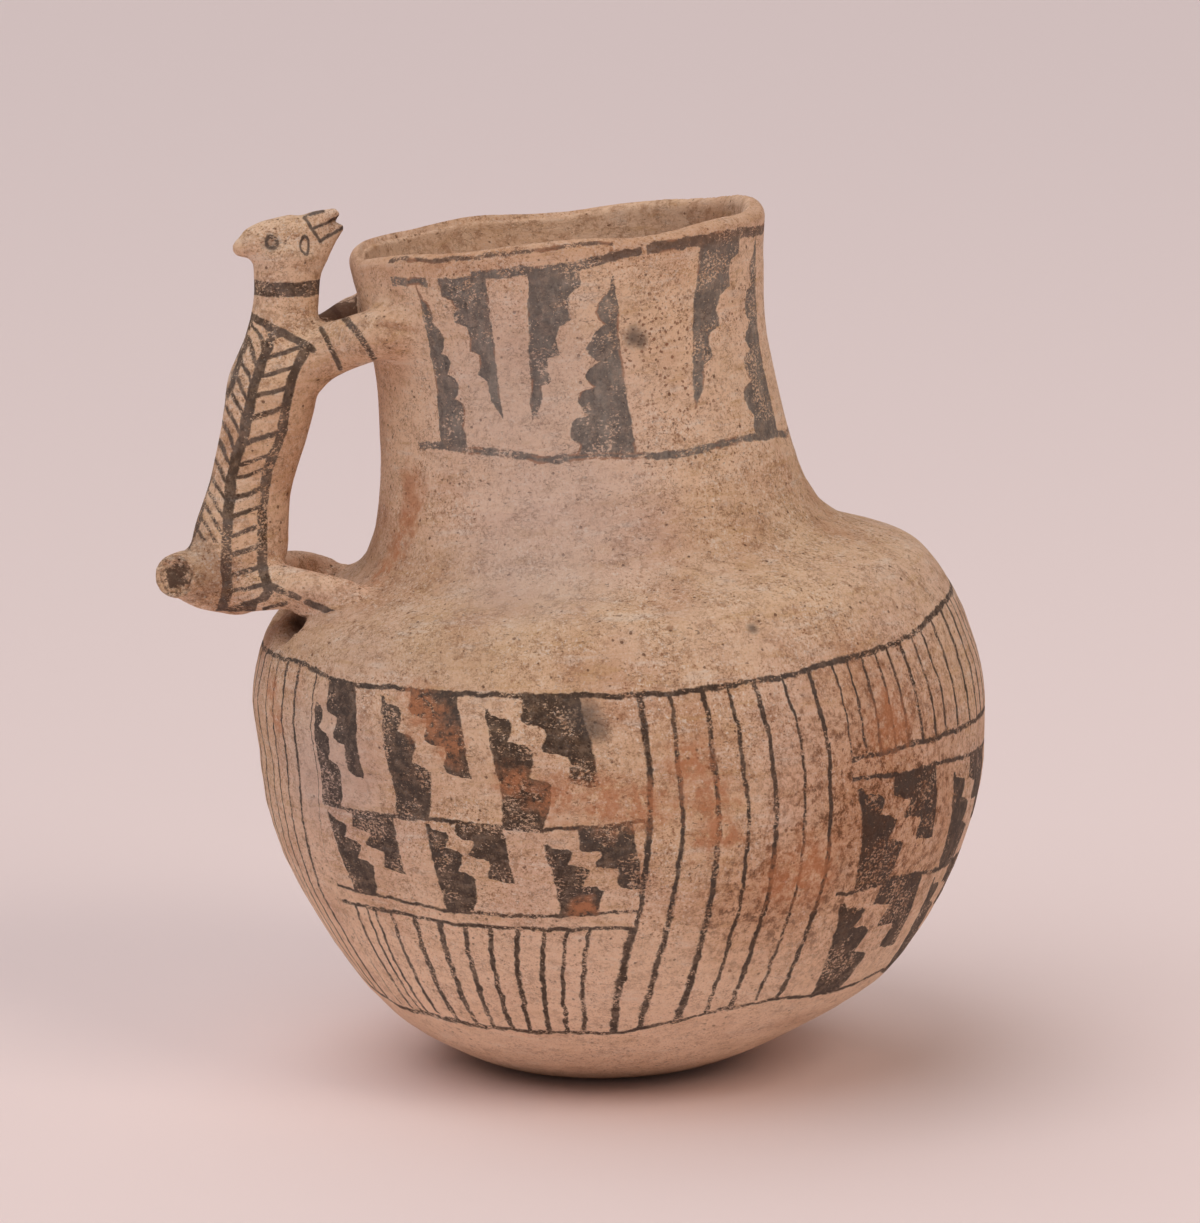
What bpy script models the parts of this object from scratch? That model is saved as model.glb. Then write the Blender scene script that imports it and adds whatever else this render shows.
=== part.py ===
"""Pottery pitcher whose handle is an upright four-legged animal, modelled, joined and fired as one piece.

Units are metres, +Z is up, and the origin is the centre of the flat resting spot under the pitcher.
The animal stands on the -X side, turned a little towards -Y, and looks over the rim.
"""
import math

import bmesh
import bpy
from mathutils import Vector

# Vessel, outside sizes
FOOT_RADIUS = 0.017
BELLY_RADIUS = 0.0729
BELLY_HEIGHT = 0.0641
SHOULDER_RISE = 0.0448
NECK_LENGTH = 0.0596
NECK_RADIUS = 0.0393
NECK_FLARE = 0.0059
RIM_RADIUS = 0.0415

# Walls
WALL = 0.005
FLOOR = 0.0065

# Roundness of the belly below its widest ring: a quarter of a superellipse with these two powers
BELLY_POWER_UP = 1.8
BELLY_POWER_OUT = 1.7

# The shoulder's round, in shares of the way from the belly in to the neck and of its rise
SHOULDER_ROUND = ((0.01, 0.37), (0.29, 0.75))

# Where the neck is narrowest, as a share of its length
NECK_WAIST = 0.51

# The potter's hand: at each level the ring of wall is shifted along X and tipped, +X side up
LEVELS = (
    # height, shift, tip in degrees
    (0.0, 0.0, 0.0),
    (0.45 * BELLY_HEIGHT, 0.0006, -5.9),
    (BELLY_HEIGHT, 0.0044, 0.5),
    (BELLY_HEIGHT + SHOULDER_RISE, -0.0016, 6.8),
    (BELLY_HEIGHT + SHOULDER_RISE + NECK_LENGTH, -0.0088, 6.4),
)
RIM_WAVE = 0.0006
RIM_WAVE_DEPTH = 0.012
RIM_LOBES = (
    # lobes around the rim, turn in radians, share of the wave
    (3, 0.6, 1.0),
    (7, 0.0, 0.6),
)

# The animal: its height from the underside of the rump to the top of the head, and its thicknesses
ANIMAL_TURN = math.radians(10)
ANIMAL_HEIGHT = 0.0800
TRUNK_RADIUS = 0.0087
ANIMAL_NECK_RADIUS = 0.0067
RUMP_RADIUS = 0.0080
FORELEG_RADIUS = 0.0050
HIND_LEG_RADIUS = 0.0036
HEAD_RADIUS = 0.0049
TAIL_RADIUS = 0.0046

# The underside of the rump hangs below the foot of the pot's neck by this share of the animal's height
RUMP_DROP = 0.147

# Where its feet are pressed onto the pot: turned to each side of the animal, and how far up
FOREFEET_SPREAD = math.radians(30)
FOREFEET_BELOW_RIM = 0.0149
FOREFEET_APPROACH = math.radians(7)
HIND_FEET_SPREAD = math.radians(18)
HIND_FEET_BELOW_NECK = 0.0060

# How deep the feet reach from the wall's outside before they are trimmed inside it, in wall thicknesses
FOREFEET_DEPTH = 1.3
HIND_FEET_DEPTH = 1.8

# Fineness of the turned wall and of the modelled limbs
WALL_STEPS = 56
LIMB_SIDES_STEP = 4
TRUNK_SIDES_STEP = 6

CLAY = (0.53, 0.34, 0.22, 1.0)


def start_empty():
    """Removes what the scene holds, so that the pitcher is built alone."""
    for item in list(bpy.data.objects):
        bpy.data.objects.remove(item, do_unlink=True)


def new_collection(name):
    """A collection of the scene with this name."""
    group = bpy.data.collections.new(name)
    bpy.context.scene.collection.children.link(group)
    return group


def clay_material():
    """Slipped and burnished earthenware, dry and almost without gloss."""
    material = bpy.data.materials.new("painted_clay")
    material.use_nodes = True
    shader = material.node_tree.nodes["Principled BSDF"]
    shader.inputs["Base Color"].default_value = CLAY
    shader.inputs["Roughness"].default_value = 0.8
    shader.inputs["Metallic"].default_value = 0.0
    return material


def smooth_points(points, steps):
    """Points along a smooth curve through the given ones, which may have any number of values each."""
    found = []
    last = len(points) - 1
    for i in range(last):
        before, start = points[max(i - 1, 0)], points[i]
        end, after = points[i + 1], points[min(i + 2, last)]
        for k in range(steps):
            t = k / steps
            weights = (2 * t**3 - 3 * t**2 + 1, t**3 - 2 * t**2 + t, 3 * t**2 - 2 * t**3, t**3 - t**2)
            found.append(tuple(
                weights[0] * b + weights[1] * (c - a) / 2 + weights[2] * c + weights[3] * (d - b) / 2
                for a, b, c, d in zip(before, start, end, after)
            ))
    found.append(tuple(points[-1]))
    return found


def at_level(height, column):
    """The shift or the tip of the wall at a height, read smoothly between the levels."""
    last = len(LEVELS) - 1
    slopes = []
    for i in range(last + 1):
        low, high = LEVELS[max(i - 1, 0)], LEVELS[min(i + 1, last)]
        slopes.append((high[column] - low[column]) / (high[0] - low[0]) if i else 0.0)
    height = min(max(height, LEVELS[0][0]), LEVELS[-1][0])
    i = max(k for k in range(last) if LEVELS[k][0] <= height)
    step = LEVELS[i + 1][0] - LEVELS[i][0]
    t = (height - LEVELS[i][0]) / step
    return (
        (2 * t**3 - 3 * t**2 + 1) * LEVELS[i][column]
        + (t**3 - 2 * t**2 + t) * step * slopes[i]
        + (3 * t**2 - 2 * t**3) * LEVELS[i + 1][column]
        + (t**3 - t**2) * step * slopes[i + 1]
    )


def hand_made(point):
    """Where a point of the true turned form lies on the leaning pot that left the potter's hands."""
    x, y, height = point
    tip = math.tan(math.radians(at_level(height, 2)))
    near_rim = max(0.0, 1.0 - (LEVELS[-1][0] - height) / RIM_WAVE_DEPTH)
    around = math.atan2(y, x)
    wave = sum(share * math.sin(lobes * around + turn) for lobes, turn, share in RIM_LOBES)
    lift = RIM_WAVE * near_rim * wave
    return Vector((x + at_level(height, 1), y, height + tip * x + lift))


def outer_outline():
    """Radius and height up the outside, from the edge of the resting spot to the start of the lip."""
    belly_steps = 10
    closer_at_foot = 1.7
    outline = []
    for i in range(belly_steps):
        up = (i / belly_steps) ** closer_at_foot
        out = (1 - (1 - up) ** BELLY_POWER_UP) ** (1 / BELLY_POWER_OUT)
        outline.append((FOOT_RADIUS + (BELLY_RADIUS - FOOT_RADIUS) * out, BELLY_HEIGHT * up))
    neck_foot_radius = NECK_RADIUS + NECK_FLARE
    neck_foot = BELLY_HEIGHT + SHOULDER_RISE
    way_in = BELLY_RADIUS - neck_foot_radius
    shoulder = [
        (BELLY_RADIUS - inward * way_in, BELLY_HEIGHT + upward * SHOULDER_RISE)
        for inward, upward in SHOULDER_ROUND
    ]
    above = [
        (BELLY_RADIUS, BELLY_HEIGHT),
        *shoulder,
        (neck_foot_radius, neck_foot),
        (NECK_RADIUS, neck_foot + NECK_WAIST * NECK_LENGTH),
        (RIM_RADIUS, neck_foot + NECK_LENGTH - WALL / 2),
    ]
    return outline + smooth_points(above, 3)


def lip_outline(outline):
    """The rounded lip, from the outer wall over to the inner one."""
    steps = 4
    radius, height = outline[-1]
    angles = [math.pi * i / (steps + 1) for i in range(1, steps + 1)]
    return [
        (radius - WALL / 2 + WALL / 2 * math.cos(angle), height + WALL / 2 * math.sin(angle))
        for angle in angles
    ]


def inner_outline(outline):
    """The outside outline moved in by the wall's thickness, from the lip down to the edge of the floor."""
    inner = []
    for i in range(len(outline) - 1, 0, -1):
        low, high = outline[i - 1], outline[min(i + 1, len(outline) - 1)]
        along = math.hypot(high[0] - low[0], high[1] - low[1])
        radius = outline[i][0] - WALL * (high[1] - low[1]) / along
        height = outline[i][1] + WALL * (high[0] - low[0]) / along
        if height > FLOOR + WALL / 2:
            inner.append((radius, height))
    edge = inner[-1][0] - (inner[-1][1] - FLOOR)
    return inner + [(edge, FLOOR)]


def turned(name, outline, group):
    """A solid turned from an outline that runs from the inside, or the top, over and down the outside."""
    profile = bpy.data.meshes.new(name)
    points = [(radius, 0.0, height) for radius, height in outline]
    profile.from_pydata(points, [(i, i + 1) for i in range(len(points) - 1)], [])
    item = bpy.data.objects.new(name, profile)
    group.objects.link(item)
    screw = item.modifiers.new("turn", "SCREW")
    screw.steps = WALL_STEPS
    screw.render_steps = WALL_STEPS
    screw.use_merge_vertices = True
    screw.merge_threshold = 0.00001
    return item


def as_mesh(item):
    """Replaces an object by the mesh that its curve or modifiers make, with loose caps welded."""
    bpy.context.view_layer.update()
    seen = item.evaluated_get(bpy.context.evaluated_depsgraph_get())
    mesh = bpy.data.meshes.new_from_object(seen)
    mesh.name = item.name
    name, place, group = item.name, item.matrix_world.copy(), item.users_collection[0]
    bpy.data.objects.remove(item, do_unlink=True)
    work = bmesh.new()
    work.from_mesh(mesh)
    bmesh.ops.remove_doubles(work, verts=work.verts, dist=0.000005)
    bmesh.ops.recalc_face_normals(work, faces=work.faces)
    work.to_mesh(mesh)
    work.free()
    solid = bpy.data.objects.new(name, mesh)
    solid.matrix_world = place
    group.objects.link(solid)
    return solid


def by_hand(item):
    """Makes a turned solid a mesh and gives it the lean of the pot."""
    solid = as_mesh(item)
    for vertex in solid.data.vertices:
        vertex.co = hand_made(vertex.co)
    return solid


def as_guide(item):
    """Shows a solid that only shapes another one as wires, and keeps it out of the model."""
    item.hide_render = True
    item.display_type = "WIRE"


def combine(target, tool, operation):
    """Joins a solid to another, or cuts it away, with a Boolean that stays on the target."""
    change = target.modifiers.new(operation.lower() + "_" + tool.name, "BOOLEAN")
    change.operation = operation
    change.solver = "EXACT"
    change.use_self = True
    change.object = tool
    as_guide(tool)


def outer_radius(height):
    """The radius of the turned form at a height."""
    outline = outer_outline()
    for (low_radius, low), (high_radius, high) in zip(outline, outline[1:]):
        if low <= height <= high:
            return low_radius + (high_radius - low_radius) * (height - low) / (high - low)
    return outline[-1][0]


def wall_point(turn, height, inside=0.0):
    """A point on the pot's outer wall, or inside it, at an angle from -X towards -Y."""
    radius = outer_radius(height) - inside
    return hand_made((-radius * math.cos(turn), -radius * math.sin(turn), height))


def animal_point(out, side, up):
    """A point of the animal in shares of its height: out from the neck, to its near side, and up."""
    neck_foot = BELLY_HEIGHT + SHOULDER_RISE
    neck = wall_point(ANIMAL_TURN, neck_foot + NECK_WAIST * NECK_LENGTH)
    away = Vector((-math.cos(ANIMAL_TURN), -math.sin(ANIMAL_TURN), 0.0))
    beside = Vector((math.sin(ANIMAL_TURN), -math.cos(ANIMAL_TURN), 0.0))
    rump_level = wall_point(ANIMAL_TURN, neck_foot).z - RUMP_DROP * ANIMAL_HEIGHT
    start = Vector((neck.x, neck.y, rump_level))
    return start + ANIMAL_HEIGHT * (out * away + side * beside + up * Vector((0.0, 0.0, 1.0)))


def round_ends(route, at_start, at_end):
    """Closes a route of points with radii by a dome at the chosen ends."""
    def dome(end, inner):
        point, radius = Vector(end[:3]), end[3]
        ahead = (point - Vector(inner[:3])).normalized()
        angles = (math.radians(30), math.radians(58), math.radians(80))
        return [(*(point + ahead * radius * math.sin(a)), radius * math.cos(a)) for a in angles]

    route = list(route)
    if at_start:
        route = dome(route[0], route[1])[::-1] + route
    if at_end:
        route = route + dome(route[-1], route[-2])
    return route


def limb(name, knots, group, sides_step=LIMB_SIDES_STEP, at_start=False, at_end=False, steps=4):
    """A round tapering limb through knots of a point and a radius, as a closed mesh."""
    route = smooth_points([(*point, radius) for point, radius in knots], steps)
    route = round_ends(route, at_start, at_end)
    curve = bpy.data.curves.new(name, "CURVE")
    curve.dimensions = "3D"
    curve.bevel_depth = 1.0
    curve.bevel_resolution = sides_step
    curve.use_fill_caps = True
    spline = curve.splines.new("POLY")
    spline.points.add(len(route) - 1)
    for point, (x, y, z, radius) in zip(spline.points, route):
        point.co = (x, y, z, 1.0)
        point.radius = radius
    item = bpy.data.objects.new(name, curve)
    group.objects.link(item)
    return as_mesh(item)


def trunk(group):
    """The animal's body, from the rump up through the neck to the back of the head."""
    knots = [
        (animal_point(0.352, 0.0, 0.101), RUMP_RADIUS),
        (animal_point(0.342, 0.0, 0.181), RUMP_RADIUS * 1.22),
        (animal_point(0.314, 0.0, 0.330), TRUNK_RADIUS * 0.95),
        (animal_point(0.276, 0.0, 0.477), TRUNK_RADIUS * 1.02),
        (animal_point(0.257, 0.0, 0.575), TRUNK_RADIUS * 1.05),
        (animal_point(0.237, 0.0, 0.677), TRUNK_RADIUS * 0.86),
        (animal_point(0.224, 0.0, 0.775), ANIMAL_NECK_RADIUS),
        (animal_point(0.220, 0.0, 0.860), ANIMAL_NECK_RADIUS * 1.03),
        (animal_point(0.217, 0.0, 0.905), ANIMAL_NECK_RADIUS * 1.08),
        (animal_point(0.213, 0.0, 0.945), ANIMAL_NECK_RADIUS * 0.60),
    ]
    return limb("trunk", knots, group, TRUNK_SIDES_STEP, at_start=True, steps=3)


def head(group):
    """The skull from its back crest to the upper lip, and the lower jaw beneath it."""
    skull = [
        (animal_point(0.322, 0.0, 0.922), HEAD_RADIUS * 0.54),
        (animal_point(0.266, 0.0, 0.925), HEAD_RADIUS * 0.94),
        (animal_point(0.184, 0.0, 0.939), HEAD_RADIUS),
        (animal_point(0.140, 0.0, 0.967), HEAD_RADIUS * 0.67),
        (animal_point(0.114, 0.0, 0.982), HEAD_RADIUS * 0.49),
    ]
    jaw = [
        (animal_point(0.222, 0.0, 0.859), ANIMAL_NECK_RADIUS * 0.87),
        (animal_point(0.167, 0.0, 0.903), HEAD_RADIUS * 1.00),
        (animal_point(0.121, 0.0, 0.937), HEAD_RADIUS * 0.60),
        (animal_point(0.089, 0.0, 0.957), HEAD_RADIUS * 0.31),
    ]
    return [
        limb("skull", skull, group, at_start=True, at_end=True, steps=3),
        limb("jaw", jaw, group, at_start=True, at_end=True, steps=3),
    ]


def tail(group):
    """The stub of the tail, broken off round, its end turned to the animal's near side."""
    knots = [
        (animal_point(0.352, 0.0, 0.097), RUMP_RADIUS * 0.95),
        (animal_point(0.430, 0.016, 0.104), TAIL_RADIUS * 1.48),
        (animal_point(0.486, 0.052, 0.115), TAIL_RADIUS * 1.14),
        (animal_point(0.508, 0.090, 0.118), TAIL_RADIUS),
    ]
    return limb("tail", knots, group, at_start=True, steps=3)


def foreleg(side, group):
    """One foreleg, from the breast onto the pot's neck; side is 1 for the near one and -1 for the far one."""
    turn = ANIMAL_TURN + side * FOREFEET_SPREAD
    foot_height = BELLY_HEIGHT + SHOULDER_RISE + NECK_LENGTH - FOREFEET_BELOW_RIM
    knots = [
        (animal_point(0.256, side * 0.010, 0.565), FORELEG_RADIUS * 1.50),
        (animal_point(0.178, side * 0.045, 0.640), FORELEG_RADIUS * 1.32),
        (animal_point(0.103, side * 0.090, 0.677), FORELEG_RADIUS * 1.08),
        (wall_point(turn - side * FOREFEET_APPROACH, foot_height, -0.4 * FORELEG_RADIUS), FORELEG_RADIUS),
        (wall_point(turn, foot_height, FOREFEET_DEPTH * WALL), FORELEG_RADIUS * 0.90),
    ]
    name = "near_foreleg" if side > 0 else "far_foreleg"
    return limb(name, knots, group, at_start=True, at_end=True, steps=3)


def hind_leg(side, group):
    """One hind leg, from the rump onto the pot's shoulder."""
    turn = ANIMAL_TURN + side * HIND_FEET_SPREAD
    foot_height = BELLY_HEIGHT + SHOULDER_RISE - HIND_FEET_BELOW_NECK
    knots = [
        (animal_point(0.340, side * 0.030, 0.091), HIND_LEG_RADIUS * 1.80),
        (animal_point(0.250, side * 0.110, 0.088), HIND_LEG_RADIUS * 1.32),
        (animal_point(0.166, side * 0.182, 0.086), HIND_LEG_RADIUS * 1.08),
        (wall_point(turn, foot_height), HIND_LEG_RADIUS),
        (wall_point(turn, foot_height, HIND_FEET_DEPTH * WALL), HIND_LEG_RADIUS),
    ]
    name = "near_hind_leg" if side > 0 else "far_hind_leg"
    return limb(name, knots, group, at_start=True, at_end=True, steps=3)


def feet_trimmer(outline, group):
    """A solid that ends halfway through the pot's wall, where the animal's feet stop."""
    middle = []
    for i in range(len(outline) - 1, 0, -1):
        low, high = outline[i - 1], outline[min(i + 1, len(outline) - 1)]
        along = math.hypot(high[0] - low[0], high[1] - low[1])
        middle.append((
            outline[i][0] - WALL / 2 * (high[1] - low[1]) / along,
            outline[i][1] + WALL / 2 * (high[0] - low[0]) / along,
        ))
    middle = [(0.0, middle[0][1])] + middle + [(0.0, middle[-1][1])]
    return by_hand(turned("feet_trimmer", middle, group))


def pitcher():
    """Builds the whole pot: the turned and leaning vessel with the animal joined to it."""
    made = new_collection("pottery_pitcher")
    guides = new_collection("cutters")
    outline = outer_outline()
    inside = inner_outline(outline)
    section = [(0.0, FLOOR)] + inside[::-1] + lip_outline(outline)[::-1] + outline[::-1] + [(0.0, 0.0)]
    vessel = by_hand(turned("pitcher", section, made))

    body = trunk(guides)
    limbs = head(guides) + [tail(guides)]
    for side in (1, -1):
        limbs += [foreleg(side, guides), hind_leg(side, guides)]
    for item in limbs:
        combine(body, item, "UNION")
    combine(body, feet_trimmer(outline, guides), "DIFFERENCE")
    combine(vessel, body, "UNION")

    vessel.data.materials.append(clay_material())
    vessel.data.shade_smooth()
    vessel.data.set_sharp_from_angle(angle=math.radians(50))
    return vessel


start_empty()
pitcher()
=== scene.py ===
# %% [markdown]
# # A painted pitcher with an animal for its handle
#
# This lesson dresses a measured model of an old earthenware pitcher: a round body, a wide neck, and
# a handle shaped as an animal that stands upright and looks over the rim. The measured model is
# loaded first and never changed. Everything here is in metres, with +Z up, and sits exactly on it.

# %% Load the measured pitcher
import math

import bmesh
import bpy
import numpy as np
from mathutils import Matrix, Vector, noise
from mathutils.bvhtree import BVHTree


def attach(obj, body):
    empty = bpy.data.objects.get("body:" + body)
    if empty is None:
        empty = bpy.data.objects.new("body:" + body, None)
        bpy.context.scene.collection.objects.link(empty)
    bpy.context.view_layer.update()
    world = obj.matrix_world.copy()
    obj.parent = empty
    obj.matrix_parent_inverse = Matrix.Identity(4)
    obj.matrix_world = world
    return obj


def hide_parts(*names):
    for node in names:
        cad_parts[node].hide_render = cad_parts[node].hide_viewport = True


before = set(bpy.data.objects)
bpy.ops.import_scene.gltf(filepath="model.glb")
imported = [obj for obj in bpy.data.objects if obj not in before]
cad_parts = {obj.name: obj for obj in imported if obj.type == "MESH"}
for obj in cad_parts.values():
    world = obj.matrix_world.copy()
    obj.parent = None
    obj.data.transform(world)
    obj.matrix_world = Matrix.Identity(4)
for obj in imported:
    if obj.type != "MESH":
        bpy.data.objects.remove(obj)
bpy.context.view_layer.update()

NODE = "pitcher"
MM = 0.001
print("nodes:", sorted(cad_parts))

# %% [markdown]
# ## The camera
#
# The photograph was taken from about a metre away, a little above the rim, with a long lens. A long
# lens keeps the upright lines of the neck nearly parallel, so the camera stands well back and its
# lens is narrow. It looks at a point a little above the middle of the belly.

# %% Set up the camera
CAMERA_PLACE = Vector((0.0, -1.080, 0.2685))
CAMERA_TARGET = Vector((0.0, 0.0, 0.0909))
LENS_MM = 161.2


def new_object(name, data):
    """An object with this data, in the scene."""
    item = bpy.data.objects.new(name, data)
    bpy.context.scene.collection.objects.link(item)
    return item


def aimed(name, data, place):
    """A camera or a light at a place, turned towards the middle of the view."""
    item = new_object(name, data)
    item.location = place
    item.rotation_euler = (CAMERA_TARGET - place).to_track_quat("-Z", "Y").to_euler()
    return item


lens = bpy.data.cameras.new("museum_camera")
lens.lens = LENS_MM
bpy.context.scene.camera = aimed("museum_camera", lens, CAMERA_PLACE)
view_way = CAMERA_TARGET - CAMERA_PLACE
print("camera looks down by", round(math.degrees(math.atan2(-view_way.z, view_way.y)), 1), "degrees")

# %% [markdown]
# ## Table and light
#
# A plain, pale, slightly pink floor reaches far back, so it also makes the background. Two wide and
# far lights come from the left, one in front of the pitcher and one behind it, and a warm lamp stands
# on the right. All of them are broad, which gives the soft shadow edges of a studio, and a pale sky
# fills the shadows.

# %% Build the floor and the lamps


def dye(red, green, blue):
    """A colour given as it looks on a screen, from 0 to 255, as the amounts of light that it stands for."""
    shares = (red / 255, green / 255, blue / 255)
    return tuple(s / 12.92 if s < 0.04045 else ((s + 0.055) / 1.055) ** 2.4 for s in shares) + (1.0,)


FLOOR_REACH = 9.0
FLOOR_TINT, FLOOR_ROUGHNESS = dye(246, 227, 225), 0.9
FAR_LIGHTS = (
    # name, where it comes from, strength, how soft in degrees, tint
    ("front_light", (-0.45, -0.42, 1.0), 1.20, 54, dye(251, 251, 253)),
    ("back_light", (-0.30, 0.50, 1.0), 0.68, 50, dye(251, 251, 253)),
)
LAMP_PLACE, LAMP_WIDTH = Vector((1.20, -1.10, 1.50)), 1.0
LAMP_WATTS, LAMP_TINT = 11.0, dye(255, 243, 229)
SKY_TINT, SKY_STRENGTH = dye(236, 224, 219), 0.24

floor_mesh = bpy.data.meshes.new("floor")
work = bmesh.new()
bmesh.ops.create_grid(work, x_segments=8, y_segments=8, size=FLOOR_REACH)
work.to_mesh(floor_mesh)
work.free()
floor_paint = bpy.data.materials.new("floor_paper")
floor_paint.use_nodes = True
paper = floor_paint.node_tree.nodes["Principled BSDF"].inputs
paper["Base Color"].default_value = FLOOR_TINT
paper["Roughness"].default_value = FLOOR_ROUGHNESS
floor_mesh.materials.append(floor_paint)
floor = new_object("floor", floor_mesh)


def place_light(name, kind, place, strength, tint):
    """Adds a light at a place that shines towards the middle of the view."""
    light = bpy.data.lights.new(name, kind)
    light.energy, light.color = strength, tint[:3]
    aimed(name, light, place)
    return light


for name, way, strength, softness, tint in FAR_LIGHTS:
    far = place_light(name, "SUN", CAMERA_TARGET + Vector(way), strength, tint)
    far.angle = math.radians(softness)
lamp = place_light("right_lamp", "AREA", LAMP_PLACE, LAMP_WATTS, LAMP_TINT)
lamp.size = LAMP_WIDTH

sky = bpy.data.worlds.new("pale_room")
sky.use_nodes = True
glow = sky.node_tree.nodes["Background"].inputs
glow["Color"].default_value = SKY_TINT
glow["Strength"].default_value = SKY_STRENGTH
bpy.context.scene.world = sky
bpy.context.scene.view_settings.view_transform = "Standard"
print("lights:", [item.name for item in bpy.data.lights])

# %% [markdown]
# ## The potter's sizes
#
# These are the driving sizes of the measured model, repeated by name, because the painting, the
# finer clay and the measured solid all have to agree. The pot was built by hand, so its rings are
# not quite over each other: at each level the wall is shifted along X and tipped a little.

# %% Name the sizes of the pot
FOOT_RADIUS = 0.017
BELLY_RADIUS = 0.0729
BELLY_HEIGHT = 0.0641
SHOULDER_RISE = 0.0448
NECK_LENGTH = 0.0596
NECK_RADIUS = 0.0393
NECK_FLARE = 0.0059
RIM_RADIUS = 0.0415
WALL = 0.005
FLOOR = 0.0065
BELLY_POWER_UP = 1.8
BELLY_POWER_OUT = 1.7
SHOULDER_ROUND = ((0.01, 0.37), (0.29, 0.75))
NECK_WAIST = 0.51
NECK_FOOT = BELLY_HEIGHT + SHOULDER_RISE
TOP = NECK_FOOT + NECK_LENGTH
LEVELS = np.array((
    # height, shift, tip in degrees
    (0.0, 0.0, 0.0),
    (0.45 * BELLY_HEIGHT, 0.0006, -5.9),
    (BELLY_HEIGHT, 0.0044, 0.5),
    (NECK_FOOT, -0.0016, 6.8),
    (TOP, -0.0088, 6.4),
))
RIM_WAVE = 0.0006
RIM_WAVE_DEPTH = 0.012
RIM_LOBES = ((3, 0.6, 1.0), (7, 0.0, 0.6))
print("height of the rim before it leans:", round(TOP / MM, 1), "mm")

# %% [markdown]
# ## Leaning and standing straight
#
# Two functions go between the true turned form and the leaning pot. `leaned` tips and shifts the
# rings. `straightened` undoes that, by guessing the height, and correcting the guess a few times.
# The second one is what makes painting easy: a line that the painter drew around the pot is a line
# of one height on the straightened form.

# %% Define the lean and its inverse
BACK_STEPS = 9


def smooth_between(t, start, end, leave, arrive, step=1.0):
    """A smooth curve from one value to the next as t runs from 0 to 1, with its slope at both ends."""
    return (
        (2 * t**3 - 3 * t**2 + 1) * start
        + (t**3 - 2 * t**2 + t) * step * leave
        + (3 * t**2 - 2 * t**3) * end
        + (t**3 - t**2) * step * arrive
    )


def at_level(height, column):
    """The shift or the tip of the wall at each height, read smoothly between the levels."""
    heights, values = LEVELS[:, 0], LEVELS[:, column]
    last = len(LEVELS) - 1
    slopes = np.zeros(last + 1)
    for i in range(1, last + 1):
        high = min(i + 1, last)
        slopes[i] = (values[high] - values[i - 1]) / (heights[high] - heights[i - 1])
    height = np.clip(height, heights[0], heights[-1])
    i = np.clip(np.searchsorted(heights, height, side="right") - 1, 0, last - 1)
    step = heights[i + 1] - heights[i]
    t = (height - heights[i]) / step
    return smooth_between(t, values[i], values[i + 1], slopes[i], slopes[i + 1], step)


def rim_lift(points):
    """How far the wavy rim stands above its even circle."""
    x, y, height = points.T
    near_rim = np.maximum(0.0, 1.0 - (TOP - height) / RIM_WAVE_DEPTH)
    around = np.arctan2(y, x)
    wave = sum(share * np.sin(lobes * around + turn) for lobes, turn, share in RIM_LOBES)
    return RIM_WAVE * near_rim * wave


def leaned(points):
    """Points of the true turned form, moved to where they lie on the leaning pot."""
    points = np.atleast_2d(np.asarray(points, float))
    x, y, height = points.T
    tip = np.tan(np.radians(at_level(height, 2)))
    return np.stack([x + at_level(height, 1), y, height + tip * x + rim_lift(points)], axis=1)


def straightened(points):
    """Points of the leaning pot, moved back to where they were on the true turned form."""
    points = np.asarray(points, float)
    guess = points.copy()
    for _ in range(BACK_STEPS):
        guess = guess + points - leaned(guess)
    return guess


trial = np.array([(0.06, 0.02, 0.07), (-0.03, 0.02, 0.15)])
print("lean and back again, error in mm:", float(np.abs(straightened(leaned(trial)) - trial).max()) / MM)

# %% [markdown]
# ## The outline of the pot
#
# A potter judges a pot by its outline. Below its widest ring the belly is a quarter of a rounded
# square, which is fuller than a circle. Above it a smooth curve rolls over the shoulder, turns up
# sharply into the neck, and ends in a round lip. The inside is the same line moved in by the wall.

# %% Draw the outline, the lip and the inside
BELLY_STEPS, UPPER_STEPS, LIP_STEPS = 60, 24, 12
FOOT_CROWDING = 1.7


def smooth_points(points, steps):
    """Points along a smooth curve through the given ones, which may have any number of values each."""
    points = np.asarray(points, float)
    last = len(points) - 1
    found = []
    for i in range(last):
        before, start = points[max(i - 1, 0)], points[i]
        end, after = points[i + 1], points[min(i + 2, last)]
        leave, arrive = (end - before) / 2, (after - start) / 2
        found.extend(smooth_between(k / steps, start, end, leave, arrive) for k in range(steps))
    found.append(points[-1])
    return np.array(found)


def outer_outline():
    """Radius and height up the outside, from the edge of the resting spot to the start of the lip."""
    up = (np.arange(BELLY_STEPS) / BELLY_STEPS) ** FOOT_CROWDING
    out = (1 - (1 - up) ** BELLY_POWER_UP) ** (1 / BELLY_POWER_OUT)
    belly = np.stack([FOOT_RADIUS + (BELLY_RADIUS - FOOT_RADIUS) * out, BELLY_HEIGHT * up], axis=1)
    way_in = BELLY_RADIUS - NECK_RADIUS - NECK_FLARE
    above = [
        (BELLY_RADIUS, BELLY_HEIGHT),
        *((BELLY_RADIUS - a * way_in, BELLY_HEIGHT + b * SHOULDER_RISE) for a, b in SHOULDER_ROUND),
        (NECK_RADIUS + NECK_FLARE, NECK_FOOT),
        (NECK_RADIUS, NECK_FOOT + NECK_WAIST * NECK_LENGTH),
        (RIM_RADIUS, TOP - WALL / 2),
    ]
    return np.concatenate([belly, smooth_points(above, UPPER_STEPS)])


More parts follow.
